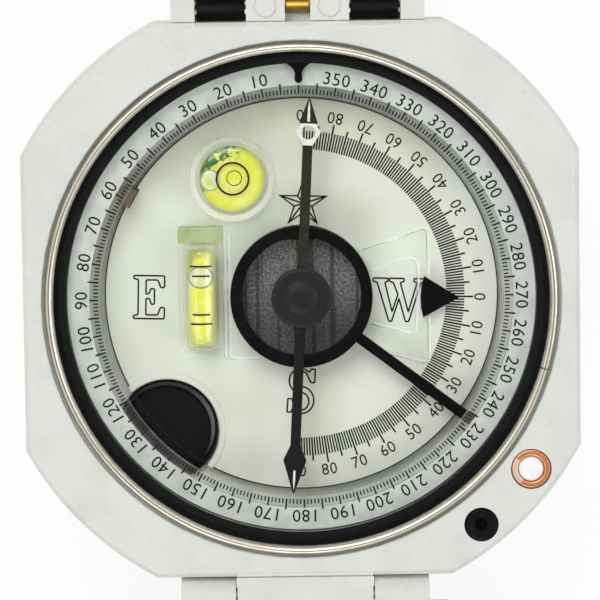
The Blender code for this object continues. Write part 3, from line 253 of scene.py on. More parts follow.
def inkFinish(name, code, rough):
    # screen-printed ink: nearly even, with a faint break-up
    f, x, y, z, spot = begun(name)
    fine = f.noise(spot, 12.0, 2.0, 0.6)
    base = f.mix(f.ramp(fine, 0.6, 0.8) * 0.3, ink(code), ink("4a4d48"))
    normal = f.bump(fine, 0.05, 0.01)
    return f.coat(Base_Color=base, Roughness=rough + fine * 0.1, Specular_IOR_Level=0.25, Normal=normal)


def whiteFinish(name, light, shade, rough):
    f, x, y, z, spot = begun(name)
    cloud = f.ramp(f.noise(spot, 1.2, 3.0, 0.6), 0.4, 0.7)
    fine = f.noise(spot, 6.0, 2.0, 0.6)
    base = f.mix(cloud, ink(light), ink(shade))
    return f.coat(Base_Color=base, Roughness=rough + cloud * 0.1, Normal=f.bump(fine, 0.1, 0.02))


def turnedMetal(name, light, dark, rough, centre=(0.0, 0.0), metal=1.0):
    # turned metal: fine grooves run around the centre, with dull stains
    f, x, y, z, spot = begun(name)
    reach, turn = f.round(x, y, centre)
    grooves = f.noise(f.joined(reach * 9.0, turn * 0.3, z * 9.0), 1.0, 2.0, 0.5)
    stains = f.ramp(f.noise(spot, 0.35, 4.0, 0.65), 0.4, 0.75)
    base = f.mix(f.clamped(grooves * 0.5 + stains * 0.35), ink(light), ink(dark))
    gloss = rough + stains * 0.1
    normal = f.bump(grooves, 0.12, 0.03)
    return f.coat(Base_Color=base, Metallic=metal, Roughness=gloss, Normal=normal)


def groundMetal(name, light, dark, rough):
    # ground or drawn metal with fine random scratches
    f, x, y, z, spot = begun(name)
    drawn = f.noise(f.joined(x * 1.2, y * 11.0, z * 11.0), 1.0, 3.0, 0.6)
    stains = f.ramp(f.noise(spot, 1.1, 4.0, 0.65), 0.42, 0.75)
    base = f.mix(f.clamped(drawn * 0.45 + stains * 0.4), ink(light), ink(dark))
    return f.coat(
        Base_Color=base, Metallic=1.0, Roughness=rough + stains * 0.15, Normal=f.bump(drawn, 0.2, 0.02)
    )


def damperFinish():
    # sintered disc: pitted grains under long scratches that run north and south
    f, x, y, z, spot = begun("damperMetal")
    pits = f.cells(spot, 4.2)
    grain = f.noise(spot, 3.4, 3.0, 0.7)
    lines = f.noise(f.joined(x * 5.5, y * 0.12, z), 1.0, 3.0, 0.6)
    deep = f.ramp(f.noise(f.joined(x * 1.15, y * 0.03, z), 1.0, 1.0, 0.5), 0.56, 0.6)
    base = f.mix(
        f.clamped(f.ramp(grain, 0.35, 0.65) * 0.8 + f.ramp(lines, 0.55, 0.7) * 0.3),
        ink("4b4d4a"),
        ink("a3a6a1"),
    )
    base = f.mix(f.ramp(pits, 0.34, 0.12) * 0.5, base, ink("2c2d2c"))
    base = f.mix(deep * 0.65, base, ink("2a2b2a"))
    # painted shade: darker towards the south
    base = f.mix(f.ramp(y, 3.0, -5.0) * 0.5, base, ink("2b2d2c"))
    height = grain * 0.7 + pits * 0.5 - deep * 0.8
    return f.coat(
        Base_Color=base, Metallic=0.35, Roughness=0.55 + grain * 0.2, Normal=f.bump(height, 0.6, 0.12)
    )


def bladeFinish():
    # blackened bronze, browner on the north arm and nearly black on the south one
    f, x, y, z, spot = begun("bladeBronze")
    drawn = f.noise(f.joined(x * 9.0, y * 0.6, z * 9.0), 1.0, 3.0, 0.6)
    worn = f.ramp(f.noise(spot, 0.9, 4.0, 0.7), 0.45, 0.7)
    base = f.mix(f.ramp(y, -2.0, 2.0), ink(bladeBronze["south"]), ink(bladeBronze["north"]))
    base = f.mix(f.clamped(drawn * 0.35 + worn * 0.3) * f.ramp(y, -6.0, 2.0), base, ink(bladeBronze["worn"]))
    return f.coat(
        Base_Color=base, Metallic=0.4, Roughness=0.42 + worn * 0.15, Normal=f.bump(drawn, 0.2, 0.02)
    )


def clearFinish(name, tint, thin, edge, rough, bright="ffffff"):
    # clear plastic or glass: sheer face on, brighter and more solid towards its edges
    f, x, y, z, spot = begun(name)
    veil = f.noise(spot, 0.35, 2.0, 0.5)
    facing = f.take("ShaderNodeLayerWeight", "Facing", {}, {"Blend": 0.35})
    alpha = f.clamped(thin + (facing**1.15) * edge + f.ramp(veil, 0.6, 0.85) * 0.02)
    base = f.mix(f.ramp(veil, 0.3, 0.7), ink(tint), ink(bright))
    smears = f.ramp(f.noise(spot, 0.8, 3.0, 0.7), 0.6, 0.8)
    return f.coat(
        Base_Color=base, Roughness=rough + smears * 0.04, Alpha=alpha, Metallic=0.0, Specular_IOR_Level=0.9
    )


def windowFinish():
    # the pane only shows as a reflection, which grows towards grazing angles
    f, x, y, z, spot = begun("windowGlass")
    smears = f.ramp(f.noise(spot, 0.25, 4.0, 0.7), 0.6, 0.8)
    facing = f.take("ShaderNodeLayerWeight", "Facing", {}, {"Blend": 0.5})
    gleam = 0.04 + (facing**5.0) * 0.96
    alpha = f.clamped(gleam * 0.3 + smears * 0.003)
    tone = f.mix(smears, ink("f2f6f2"), ink("ffffff"))
    return f.coat(Base_Color=tone, Metallic=1.0, Roughness=0.04 + smears * 0.05, Alpha=alpha)


def spiritFinish(name, middle, span, streaky, leafy):
    # tinted spirit with a painted glow: bright, with painted shade in deeper green where the vial's wall
    # curves away, more of it on the north-west side
    f, x, y, z, spot = begun(name)
    reach = f.round((x - middle[0]) / span[0], (y - middle[1]) / span[1])[0]
    # painted shade: deeper green towards the liquid's rim
    shadedRim = f.ramp(reach, 0.72, 1.0)
    swirl = f.noise(spot, 0.55, 2.0, 0.5)
    # painted shade: more of the rim's deeper green on the north-west side
    side = f.ramp((y - middle[1]) / span[1] - (x - middle[0]) / span[0], 0.2, 1.3)
    streaks = f.noise(f.joined(x * 1.9, y * 0.16, z * 0.3), 1.0, 2.0, 0.5)
    pale = f.ramp(swirl, 0.35, 0.7) * 0.45 + f.ramp(streaks, 0.5, 0.72) * streaky
    base = f.mix(f.clamped(pale), ink(spirit["bright"]), ink(spirit["pale"]))
    base = f.mix(f.clamped(shadedRim * 0.5 + side * shadedRim * 0.6), base, ink(spirit["deep"]))
    # painted reflection: the deep green of things seen through the liquid, at its north-west side
    reflectedPatches = f.noise(f.joined(x * 0.9 + y * 0.5, y * 1.3 - x * 0.8, z), 0.75, 3.0, 0.6)
    reflectedPatches = f.ramp(reflectedPatches, 0.46, 0.54) * f.ramp(side, 0.0, 0.4) * f.ramp(reach, 0.38, 0.5)
    base = f.mix(reflectedPatches * leafy, base, ink(spirit["leaf"]))
    return f.coat(
        Base_Color=base,
        Roughness=0.12 + swirl * 0.06,
        Coat_Weight=1.0,
        Coat_Roughness=0.03,
        # painted glow: the spirit gives off a little light of its own colour
        Emission_Color=base,
        Emission_Strength=0.12,
        Normal=f.bump(swirl, 0.1, 0.1),
    )


def bubbleFinish(name, middle, span):
    # an air bubble under the wall of its vial: a pale middle with a painted glow, inside a thin dark meniscus
    # of painted shade
    f, x, y, z, spot = begun(name)
    reach = f.round((x - middle[0]) / span[0], (y - middle[1]) / span[1])[0]
    # painted shade: the thin dark ring at the bubble's edge
    shadedRim = f.ramp(reach, 0.78, 0.9) * f.ramp(reach, 1.0, 0.93)
    glow = f.noise(spot, 0.8, 2.0, 0.5)
    base = f.mix(f.ramp(glow, 0.35, 0.7), ink("dfe3b4"), ink("c3ca86"))
    base = f.mix(shadedRim * 0.85, base, ink("5f6a1c"))
    return f.coat(
        Base_Color=base,
        Roughness=0.1 + glow * 0.05,
        Coat_Weight=1.0,
        # painted glow: the bubble gives off a little light
        Emission_Color=base,
        Emission_Strength=0.2,
    )


def cupFinish():
    # the cup's clear wall with painted light: paler and more solid on its lit side, with pale veins of
    # painted refracted light and duller breaks around it
    f, x, y, z, spot = begun("cupAcrylic")
    reach, turn = f.round(x, y, levelSizes["round"])
    veins = f.noise(f.joined(turn * 1.6, reach * 3.0, z * 0.7), 1.4, 3.0, 0.6)
    # painted light: the wall is lit most on its south side, a little to the west
    lit = f.ramp(f.sum("COSINE", turn + 1.9), -0.9, 0.7)
    base = f.mix(f.ramp(veins, 0.45, 0.7) * (1.0 - lit * 0.6), ink("fbfdf0"), ink("b9c59c"))
    alpha = f.clamped(0.1 + lit * 0.32 + f.ramp(veins, 0.4, 0.65) * 0.28)
    return f.coat(
        Base_Color=base, Roughness=0.12 + veins * 0.1, Alpha=alpha, Normal=f.bump(veins, 0.35, 0.15)
    )


def ribbedFinish():
    # fine moulded ribs run north and south over a nearly black disc
    f, x, y, z, spot = begun("ribbedBlack")
    ribs = f.sum("SINE", x * 38.0) * 0.5 + 0.5
    dust = f.ramp(f.noise(spot, 3.0, 3.0, 0.7), 0.62, 0.75)
    base = f.mix(f.clamped(ribs * 0.35 + dust * 0.35), ink("050807"), ink("1d2624"))
    return f.coat(
        Base_Color=base, Roughness=0.5 + dust * 0.1, Specular_IOR_Level=0.15, Normal=f.bump(ribs, 0.3, 0.02)
    )


def mirrorFinish():
    f, x, y, z, spot = begun("mirrorSilver")
    smears = f.ramp(f.noise(spot, 0.12, 5.0, 0.7), 0.5, 0.75)
    base = f.mix(smears * 0.3, ink("eef1f1"), ink("d6dcdc"))
    line = f.ramp(f.sum("ABSOLUTE", x), 0.28, 0.22)
    base = f.mix(line, base, ink("1a1c1c"))
    return f.coat(Base_Color=base, Metallic=1.0 - line, Roughness=0.03 + smears * 0.06 + line * 0.4)


finishes = {
    "composite": compositeFinish(),
    "dial": dialFinish(),
    "ring": ringFinish(),
    "moulded": blackFinish("mouldedBlack", mouldedBlack, 0.45, 0.15, 0.3),
    "painted": blackFinish("paintedBlack", paintedBlack, 0.38, 0.12, 0.5),
    "cap": blackFinish("capBlack", capBlack, 0.5, 0.3, 0.6),
    "rubber": blackFinish("sealRubber", {"dark": "0d0e0e", "worn": "2b2d2d", "gleam": 0.15}, 0.7, 0.3, 0.4),
    "disc": ribbedFinish(),
    "ink": inkFinish("scaleInk", "0c0e0d", 0.45),
    "dialInk": inkFinish("dialInk", "141a17", 0.5),
    "paint": whiteFinish("needlePaint", "f1f2ee", "dfe0da", 0.4),
    "white": whiteFinish("whiteNylon", "fbfcfc", "f1f3f2", 0.3),
    "steel": turnedMetal("turnedSteel", "efe9da", "ada692", 0.32),
    "brass": turnedMetal("turnedBrass", "c9a24c", "8a6c2c", 0.28),
    "bronze": groundMetal("bearingBronze", "8f8577", "62594d", 0.6),
    "copper": turnedMetal("copperWire", "f3ae82", "d08450", 0.4, copperMiddle, 0.85),
    # a pale, less metallic copy of copper: a painted highlight
    "copperHighlight": turnedMetal("copperHighlight", "fde3cf", "f0bf9c", 0.45, copperMiddle, 0.55),
    "pin": groundMetal("groundSteel", "b4b4b2", "74746f", 0.3),
    "damper": damperFinish(),
    "blade": bladeFinish(),
    "clear": clearFinish("clearAcrylic", "e6eee0", 0.045, 1.3, 0.06),
    # the clear band's grey-olive tint is painted shade from the dial under it
    "ringClear": clearFinish("ringAcrylicShaded", "a9b3a2", 0.05, 0.9, 0.06),
    "vial": clearFinish("vialAcrylic", "f2f6de", 0.05, 1.0, 0.05),
    "capClear": clearFinish("capAcrylic", "8da25f", 0.78, 0.6, 0.25, "c6d5a0"),
    # a painted highlight and a painted shade for the strips along the wings' rims
    "rimHighlight": clearFinish("rimHighlight", "f6faf2", 0.55, 0.6, 0.2),
    "rimShade": clearFinish("rimShade", "6f7a66", 0.32, 0.6, 0.3),
    "cup": cupFinish(),
    "window": windowFinish(),
    "mirror": mirrorFinish(),
}
print("finishes made:", len(finishes))


# mesh helpers


def polar(reach, angle, centre=(0.0, 0.0)):
    turn = math.radians(angle)
    return (centre[0] + reach * math.cos(turn), centre[1] + reach * math.sin(turn))


# places in the case that several pieces share
places = {
    "pocket": polar(25.03, -135),
    "liftPin": polar(36.4, -37.1),
    "lockPin": polar(36.8, -52.1),
    "leverAngle": -37.1,
    "screwAngle": 149.5,
    "screwZ": 13.333,
}
weldWithin = 0.0005


def arc(reach, start, end, steps, centre=(0.0, 0.0)):
    return [polar(reach, start + (end - start) * i / steps, centre) for i in range(steps + 1)]


def softened(points, sizes, steps=4, closed=True):
    # rounds the corners of an outline or a section; sizes is one number or one for each point
    made = []
    count = len(points)
    for i, point in enumerate(points):
        size = sizes[i] if isinstance(sizes, (list, tuple)) else sizes
        if not size or (not closed and i in (0, count - 1)):
            made.append(tuple(point))
            continue
        here = Vector(point)
        back = Vector(points[i - 1]) - here
        on = Vector(points[(i + 1) % count]) - here
        first = here + back.normalized() * min(size, back.length * 0.49)
        last = here + on.normalized() * min(size, on.length * 0.49)
        for k in range(steps + 1):
            t = k / steps
            made.append(tuple(first * (1 - t) ** 2 + here * 2 * t * (1 - t) + last * t * t))
    return made


def lathe(bm, section, sides=160, centre=(0.0, 0.0), start=0.0, sweep=360.0):
    # turns a section of (radius, height) about Z; it is a loop unless it ends on the axis
    whole = sweep >= 360
    loop = section[0][0] > 0
    rings = []
    for k in range(sides if whole else sides + 1):
        turn = math.radians(start + sweep * k / sides)
        c, s = math.cos(turn), math.sin(turn)
        rings.append([bm.verts.new((centre[0] + r * c, centre[1] + r * s, z)) for r, z in section])
    count = len(section)
    for k in range(sides):
        one, two = rings[k], rings[(k + 1) % len(rings)]
        for i in range(count if loop else count - 1):
            j = (i + 1) % count
            bm.faces.new((one[i], two[i], two[j], one[j]))
    if not whole:
        bm.faces.new(rings[0])
        bm.faces.new(reversed(rings[-1]))


def lathed(name, section, turning, *kind):
    # a turned piece: turning is what lathe takes after the section, kind what settled takes after the mesh
    bm = bmesh.new()
    lathe(bm, section, *turning)
    return settled(name, bm, *kind)


def meshOf(thing):
    # the evaluated mesh of a curve, text or mesh object, which is then removed
    bpy.context.scene.collection.objects.link(thing)
    bpy.context.view_layer.update()
    mesh = bpy.data.meshes.new_from_object(thing.evaluated_get(bpy.context.evaluated_depsgraph_get()))
    bpy.data.objects.remove(thing, do_unlink=True)
    return mesh


def flat(bm, outline, low, high, holes=(), turn=0.0, place=None):
    # a flat outline with holes from one height to another
    curve = bpy.data.curves.new("outline", "CURVE")
    curve.dimensions = "2D"
    curve.fill_mode = "BOTH"
    curve.extrude = (high - low) / 2
    for loop in (outline, *holes):
        spline = curve.splines.new("POLY")
        spline.points.add(len(loop) - 1)
        for point, (x, y) in zip(spline.points, loop):
            point.co = (x, y, 0.0, 1.0)
        spline.use_cyclic_u = True
    mesh = meshOf(bpy.data.objects.new("outline", curve))
    mesh.transform(Matrix.Translation((0, 0, (low + high) / 2)))
    mesh.transform(place or Matrix.Rotation(math.radians(turn), 4, "Z"))
    bm.from_mesh(mesh)


def rounded(bm, width, steps=2, sharp=40.0):
    # takes off every edge that is sharper than the angle
    bmesh.ops.remove_doubles(bm, verts=bm.verts, dist=weldWithin)
    bmesh.ops.recalc_face_normals(bm, faces=bm.faces)
    limit = math.radians(sharp)
    edges = [e for e in bm.edges if len(e.link_faces) == 2 and e.calc_face_angle(0.0) > limit]
    bmesh.ops.bevel(
        bm, geom=edges, offset=width, segments=steps, profile=0.5, affect="EDGES", clamp_overlap=True
    )


unshadowed = ("clear", "ringClear", "capClear", "cup", "rimHighlight", "rimShade", "vial", "window")


def settled(name, bm, finish, body, slot, replaced=()):
    # the finished piece: welded, facing outwards, in metres, riding on its body
    bmesh.ops.remove_doubles(bm, verts=bm.verts, dist=weldWithin)
    bmesh.ops.dissolve_degenerate(bm, edges=bm.edges, dist=0.0002)
    bmesh.ops.recalc_face_normals(bm, faces=bm.faces)
    bmesh.ops.scale(bm, vec=(mm, mm, mm), verts=bm.verts)
    mesh = bpy.data.meshes.new(name)
    bm.to_mesh(mesh)
    bm.free()
    mesh.shade_smooth()
    mesh.set_sharp_from_angle(angle=math.radians(38.0))
    mesh.materials.clear()
    mesh.materials.append(finishes[finish])
    piece = bpy.data.objects.new(name, mesh)
    bpy.context.scene.collection.objects.link(piece)
    piece.visible_shadow = finish not in unshadowed
    modifier = piece.modifiers.new("even", "WEIGHTED_NORMAL")
    modifier.keep_sharp = True
    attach(piece, body)
    if replaced:
        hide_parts(*replaced)
    return piece


def welded(bm, name):
    # a closed rough shape as an object
    mesh = bpy.data.meshes.new(name)
    bmesh.ops.remove_doubles(bm, verts=bm.verts, dist=weldWithin)
    bmesh.ops.recalc_face_normals(bm, faces=bm.faces)
    bm.to_mesh(mesh)
    return bpy.data.objects.new(name, mesh)


def carved(bm, cutters, added=()):
    # the solid with its additions and less its cutters, as a new bmesh
    solid = welded(bm, "solid")
    tools = []
    for cutter in (*added, *cutters):
        tool = welded(cutter, "cutter")
        bpy.context.scene.collection.objects.link(tool)
        tools.append(tool)
        modifier = solid.modifiers.new("cut", "BOOLEAN")
        modifier.operation = "UNION" if cutter in added else "DIFFERENCE"
        modifier.solver = "EXACT"
        modifier.object = tool
    made = meshOf(solid)
    for tool in tools:
        bpy.data.objects.remove(tool, do_unlink=True)
    result = bmesh.new()
    result.from_mesh(made)
    return result


def cylinder(reach, start, end, sides=64):
    # a plain tool for cutting
    a, b = Vector(start), Vector(end)
    turn = (b - a).to_track_quat("Z", "Y").to_matrix().to_4x4()
    bm = bmesh.new()
    lathe(bm, [(0, 0), (reach, 0), (reach, (b - a).length), (0, (b - a).length)], sides)
    bm.transform(Matrix.Translation(a) @ turn)
    return bm


def refined(node, piece, finish, body, slot, edge):
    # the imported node's own shape, welded, with its edges broken and its rounds shaded smooth
    bm = bmesh.new()
    bm.from_mesh(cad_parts[node].data)
    bmesh.ops.scale(bm, vec=(1000.0, 1000.0, 1000.0), verts=bm.verts)
    bmesh.ops.remove_doubles(bm, verts=bm.verts, dist=0.001)
    bmesh.ops.dissolve_limit(bm, angle_limit=math.radians(1.0), verts=bm.verts, edges=bm.edges)
    if edge:
        rounded(bm, edge)
    return settled(piece, bm, finish, body, slot, (node,))


def block(low, high, turn=0.0):
    bm = bmesh.new()
    low, high = Vector(low), Vector(high)
    place = Matrix.Rotation(math.radians(turn), 4, "Z") @ Matrix.Translation((low + high) / 2)
    bmesh.ops.create_cube(bm, size=1.0, matrix=place @ Matrix.Diagonal((*(high - low), 1.0)))
    return bm


# trees that repeat or turn a shape


def inlet(tree, name, kind, value):
    tree.interface.new_socket(name=name, in_out="INPUT", socket_type=kind).default_value = value


def fanTree():
    # straight marks around a centre; every fifth and tenth one is longer
    tree = bpy.data.node_groups.new("markFan", "GeometryNodeTree")
    inlet(tree, "Count", "NodeSocketInt", 360)
    for name in ("Start", "Step", "Inner", "Short", "Fifth", "Tenth", "Width", "Wider", "Height", "Level"):
        inlet(tree, name, "NodeSocketFloat", 1.0)
    tree.interface.new_socket(name="Ink", in_out="INPUT", socket_type="NodeSocketMaterial")
    tree.interface.new_socket(name="Geometry", in_out="OUTPUT", socket_type="NodeSocketGeometry")
    g = Maker(tree)
    source = g.add("NodeGroupInput")
    size = {socket.name: Val(g, socket) for socket in source.outputs if socket.name}
    index = g.take("GeometryNodeInputIndex")
    turn = (index * size["Step"] + size["Start"]) * (math.pi / 180)
    spot = g.joined(g.sum("COSINE", turn) * size["Inner"], g.sum("SINE", turn) * size["Inner"], size["Level"])
    points = g.take("GeometryNodePoints", 0, {}, {"Count": size["Count"], "Position": spot})
    fifth = g.sum("COMPARE", g.sum("MODULO", index, 5.0), 0.0, 0.5)
    tenth = g.sum("COMPARE", g.sum("MODULO", index, 10.0), 0.0, 0.5)
    long = size["Short"] + fifth * (size["Fifth"] - size["Short"]) + tenth * (size["Tenth"] - size["Fifth"])
    wide = size["Width"] + fifth * (size["Wider"] - size["Width"])
    mark = g.take("GeometryNodeMeshCube", 0, {}, {"Size": (1.0, 1.0, 1.0)})
    mark = g.take("GeometryNodeTransform", 0, {}, {"Geometry": mark, "Translation": (0.5, 0.0, 0.0)})
    around = g.joined(0.0, 0.0, turn)
    scale = g.joined(long, wide, size["Height"])
    values = {"Points": points, "Instance": mark, "Rotation": around, "Scale": scale}
    placedMarks = g.take("GeometryNodeInstanceOnPoints", 0, {}, values)
    plain = g.take("GeometryNodeRealizeInstances", 0, {}, {"Geometry": placedMarks})
    inked = g.take("GeometryNodeSetMaterial", 0, {}, {"Geometry": plain, "Material": size["Ink"]})
    g.add("NodeGroupOutput", {}, {"Geometry": inked})
    return tree


def bandTree():
    # a flat ring: a softened rectangle swept around a circle
    tree = bpy.data.node_groups.new("turnedBand", "GeometryNodeTree")
    for name in ("Inner", "Outer", "Low", "High", "Soft", "Across", "Along"):
        inlet(tree, name, "NodeSocketFloat", 0.0)
    tree.interface.new_socket(name="Coat", in_out="INPUT", socket_type="NodeSocketMaterial")
    tree.interface.new_socket(name="Geometry", in_out="OUTPUT", socket_type="NodeSocketGeometry")
    g = Maker(tree)
    source = g.add("NodeGroupInput")
    size = {socket.name: Val(g, socket) for socket in source.outputs if socket.name}
    middle = (size["Inner"] + size["Outer"]) * 0.5
    ring = g.take("GeometryNodeCurvePrimitiveCircle", 0, {}, {"Resolution": 200, "Radius": middle})
    values = {"Width": size["Outer"] - size["Inner"], "Height": size["High"] - size["Low"]}
    section = g.take("GeometryNodeCurvePrimitiveQuadrilateral", 0, {}, values)
    section = g.take(
        "GeometryNodeFilletCurve", 0, {"mode": "POLY"}, {"Curve": section, "Count": 3, "Radius": size["Soft"]}
    )
    swept = g.take("GeometryNodeCurveToMesh", 0, {}, {"Curve": ring, "Profile Curve": section})
    lift = g.joined(size["Across"], size["Along"], (size["Low"] + size["High"]) * 0.5)
    lifted = g.take("GeometryNodeTransform", 0, {}, {"Geometry": swept, "Translation": lift})
    plain = g.take("GeometryNodeRealizeInstances", 0, {}, {"Geometry": lifted})
    coated = g.take("GeometryNodeSetMaterial", 0, {}, {"Geometry": plain, "Material": size["Coat"]})
    g.add("NodeGroupOutput", {}, {"Geometry": coated})
    return tree


trees = {"fan": fanTree(), "band": bandTree()}


def grown(name, tree, values, finish, body, slot, replaced=()):
    # runs a tree with its inputs set and keeps the result as a plain mesh
    holder = bpy.data.objects.new(name + "Source", bpy.data.meshes.new(name + "Source"))
    modifier = holder.modifiers.new("tree", "NODES")
    modifier.node_group = trees[tree]
    for item in trees[tree].interface.items_tree:
        if item.in_out == "INPUT":
            value = values.get(item.name, 0.0)
            if item.socket_type == "NodeSocketMaterial":
                value = finishes[finish]
            elif item.socket_type == "NodeSocketFloat":
                value = float(value)
            modifier[item.identifier] = value
    bm = bmesh.new()
    bm.from_mesh(meshOf(holder))
    return settled(name, bm, finish, body, slot, replaced)


# lettering and line work


def stroke(points, width, closed=True):
    # the two edges of a line of some width along the points
    count = len(points)
    left, right = [], []
    for i, point in enumerate(points):
        back = Vector(points[i - 1]) if closed or i else Vector(point) * 2 - Vector(points[1])
        on = Vector(
            points[(i + 1) % count]
        ) if closed or i < count - 1 else Vector(point) * 2 - Vector(points[-2])
        first = (Vector(point) - back).normalized()
        last = (on - Vector(point)).normalized()
        lean = Vector((-first.y - last.y, first.x + last.x))
        lean = lean.normalized() if lean.length > 0.0001 else Vector((-first.y, first.x))
        reach = width / 2 / max(0.45, lean.dot(Vector((-first.y, first.x))))
        left.append(tuple(Vector(point) + lean * reach))
        right.append(tuple(Vector(point) - lean * reach))
    return left, right


def drawn(bm, points, width, low, high, closed=True):
    # a raised line: a rectangle carried along the points
    left, right = stroke(points, width, closed)
    rings = [
        [bm.verts.new((*p, z)) for p, z in ((one, low), (one, high), (two, high), (two, low))]
        for one, two in zip(left, right)
    ]
    for k in range(len(rings) if closed else len(rings) - 1):
        one, two = rings[k], rings[(k + 1) % len(rings)]
        for i in range(4):
            bm.faces.new((one[i], two[i], two[(i + 1) % 4], one[(i + 1) % 4]))
    if not closed:
        bm.faces.new(rings[0])
        bm.faces.new(rings[-1][::-1])


digitCache = {}


def figure(bm, text, spot, tall, turn, low, high, squeeze=1.0):
    # a number of a set height, narrowed, with its middle on the spot
    if text not in digitCache:
        curve = bpy.data.curves.new("figure", "FONT")
        curve.body = text
        curve.align_x = "CENTER"
        curve.align_y = "CENTER"
        curve.extrude = 0.5
        curve.resolution_u = 3
        curve.space_character = 1.06
        mesh = meshOf(bpy.data.objects.new("figure", curve))
        xs = [v.co.x for v in mesh.vertices]
        ys = [v.co.y for v in mesh.vertices]
        mesh.transform(Matrix.Translation((-(min(xs) + max(xs)) / 2, -(min(ys) + max(ys)) / 2, 0)))
        digitCache[text] = (mesh, max(ys) - min(ys))
    mesh, height = digitCache[text]
    scale = tall / height
    made = mesh.copy()
    made.transform(Matrix.Diagonal((scale * squeeze, scale, high - low, 1.0)))
    place = Matrix.Translation((*spot, (low + high) / 2)) @ Matrix.Rotation(math.radians(turn), 4, "Z")
    made.transform(place)
    bm.from_mesh(made)


print("helpers ready")

# case

caseSizes = {
    "half": 35.4,
    "corner": 40.1,
    "top": 22.0,
    "edge": 0.55,
    "flatSteps": 10,
    "cornerSteps": 16,
    "hingeY": 38.45,
    "hingeZ": 19.25,
    "barrel": 2.59,
    "lugFrom": 33.9,
    "lugEdge": 0.28,
}


def caseLoop(inset):
    # a square whose corners are rounded off by one circle, moved in by the inset
    half, corner = caseSizes["half"] - inset, caseSizes["corner"] - inset
    first = math.acos(half / corner)
    points = []
    for quarter in range(4):
        spin = Matrix.Rotation(math.radians(90 * quarter), 2)
        for i in range(caseSizes["flatSteps"]):
            turn = -first + 2 * first * i / caseSizes["flatSteps"]
            points.append(spin @ Vector((half, half * math.tan(turn))))
        for i in range(caseSizes["cornerSteps"]):
            turn = first + (math.pi / 2 - 2 * first) * i / caseSizes["cornerSteps"]
            points.append(spin @ Vector((corner * math.cos(turn), corner * math.sin(turn))))
    return points


# stands an outline of (y, z) up and runs its depth along x
crosswise = Matrix(((0, 0, 1, 0), (1, 0, 0, 0), (0, 1, 0, 0), (0, 0, 0, 1)))


def caseLug(side, left, right):
    # one knuckle of a hinge with the web that carries it, its top level with the case
    y, z, r = caseSizes["hingeY"], caseSizes["hingeZ"], caseSizes["barrel"]
    web = caseSizes["lugFrom"]
    outline = [(web, z + r)] + [(y + p, z + q) for p, q in arc(r, 90, -90, 20)] + [(web, z - r)]
    outline = [(side * p, q) for p, q in outline]
    bm = bmesh.new()
    flat(bm, outline, left, right, place=crosswise)
    rounded(bm, caseSizes["lugEdge"], 3, 60.0)
    return bm


def caseSaddle(side, reach, sweep, half):
    # the hollow under a hinge's barrels, close to the case's wall
    y, z = caseSizes["hingeY"], caseSizes["hingeZ"]
    hollow = arc(reach, 185, 185 + sweep, 8, (y, z))
    outline = [(35.0, hollow[0][1])] + hollow + [(35.0, 15.4)]
    bm = bmesh.new()
    flat(bm, [(side * p, q) for p, q in outline], -half, half, place=crosswise)
    return bm


def caseShell():
    top, edge = caseSizes["top"], caseSizes["edge"]
    angles = [math.degrees(math.atan2(p.y, p.x)) for p in caseLoop(0.0)]

    def circleAt(r, z):
        return [(*polar(r, a), z) for a in angles]

    loops = [circleAt(r, z) for r, z in ((3.6, 3.0), (15.85, 3.0), (16.0, 2.85), (16.0, 0.25), (16.25, 0.0))]
    broken = softened(
        [(1.2 * edge, 0.0), (edge, 0.0), (0.0, edge), (0.0, 1.2 * edge)], [0, 0.12, 0.12, 0], 3, False
    )
    loops += [[(*p, rise) for p in caseLoop(inset)] for inset, rise in broken]
    loops += [[(*p, top - drop) for p in caseLoop(inset)] for inset, drop in broken[::-1]]
    rims = (
        (33.25, top), (33.1, 21.85), (33.1, 20.5), (32.2, 20.5), (32.2, 18.7), (30.35, 18.7), (30.35, 15.6)
    )
    rims += ((29.6, 15.6), (29.6, 10.9), (3.6, 10.9))
    loops += [circleAt(r, z) for r, z in rims]
    bm = bmesh.new()
    rings = [[bm.verts.new(p) for p in loop] for loop in loops]
    count = len(angles)
    for k in range(len(rings)):
        one, two = rings[k], rings[(k + 1) % len(rings)]
        for i in range(count):
            j = (i + 1) % count
            bm.faces.new((one[i], one[j], two[j], two[i]))
    spans = ((1, 1.6, 6.5), (1, -6.5, -1.6), (1, 13.0, 16.0), (1, -16.0, -13.0), (-1, -8.7, 8.7))
    lugs = [caseLug(*span) for span in spans] + [caseSaddle(side, 2.96, 41, 16.0) for side in (1, -1)]
    lugs.append(caseSaddle(1, 2.0, 62, 1.7))
    pocket, pin, lock = (places[k] for k in ("pocket", "liftPin", "lockPin"))
    screw, pinion = (
        [(*polar(r, places["screwAngle"]), places["screwZ"]) for r in span] for span in (
            (37.5, 42.0), (27.1, 29.8)
        )
    )
    cutters = [
        cylinder(2.6, (*pin, 20.4), (*pin, 24.0)),
        cylinder(1.75, (*pin, 16.6), (*pin, 21.0)),
        cylinder(1.1, (*pin, 15.2), (*pin, 17.0)),
        cylinder(2.2, (*lock, 17.2), (*lock, 24.0)),
        cylinder(6.6, (*pocket, 8.0), (*pocket, 12.0), 96),
        cylinder(2.3, *screw),
        cylinder(3.1, *pinion),
        block((28.6, -1.075, 13.8), (38.2, 1.075, 15.65), places["leverAngle"]),
        block((-1.95, 29.3, 17.7), (1.95, 31.3, 19.7)),
    ]
    for side in (-1, 1):
        near, far = sorted((side * 35.36, side * 35.54))
        cutters.append(block((-16.2, near, 21.5), (16.2, far, 22.5)))
        # a shallow ring is moulded into the top of each middle knuckle
        groove = bmesh.new()
        section = [(1.25, 21.68), (1.25, 22.5), (1.5, 22.5), (1.5, 21.68)]
        lathe(groove, section, 48, (side * 4.05, 37.3))
        cutters.append(groove)
    return settled(
        "caseShell", carved(bm, cutters, lugs), "composite", "case", "case_composite", ("case_body",)
    )


caseShell()
print("case made")

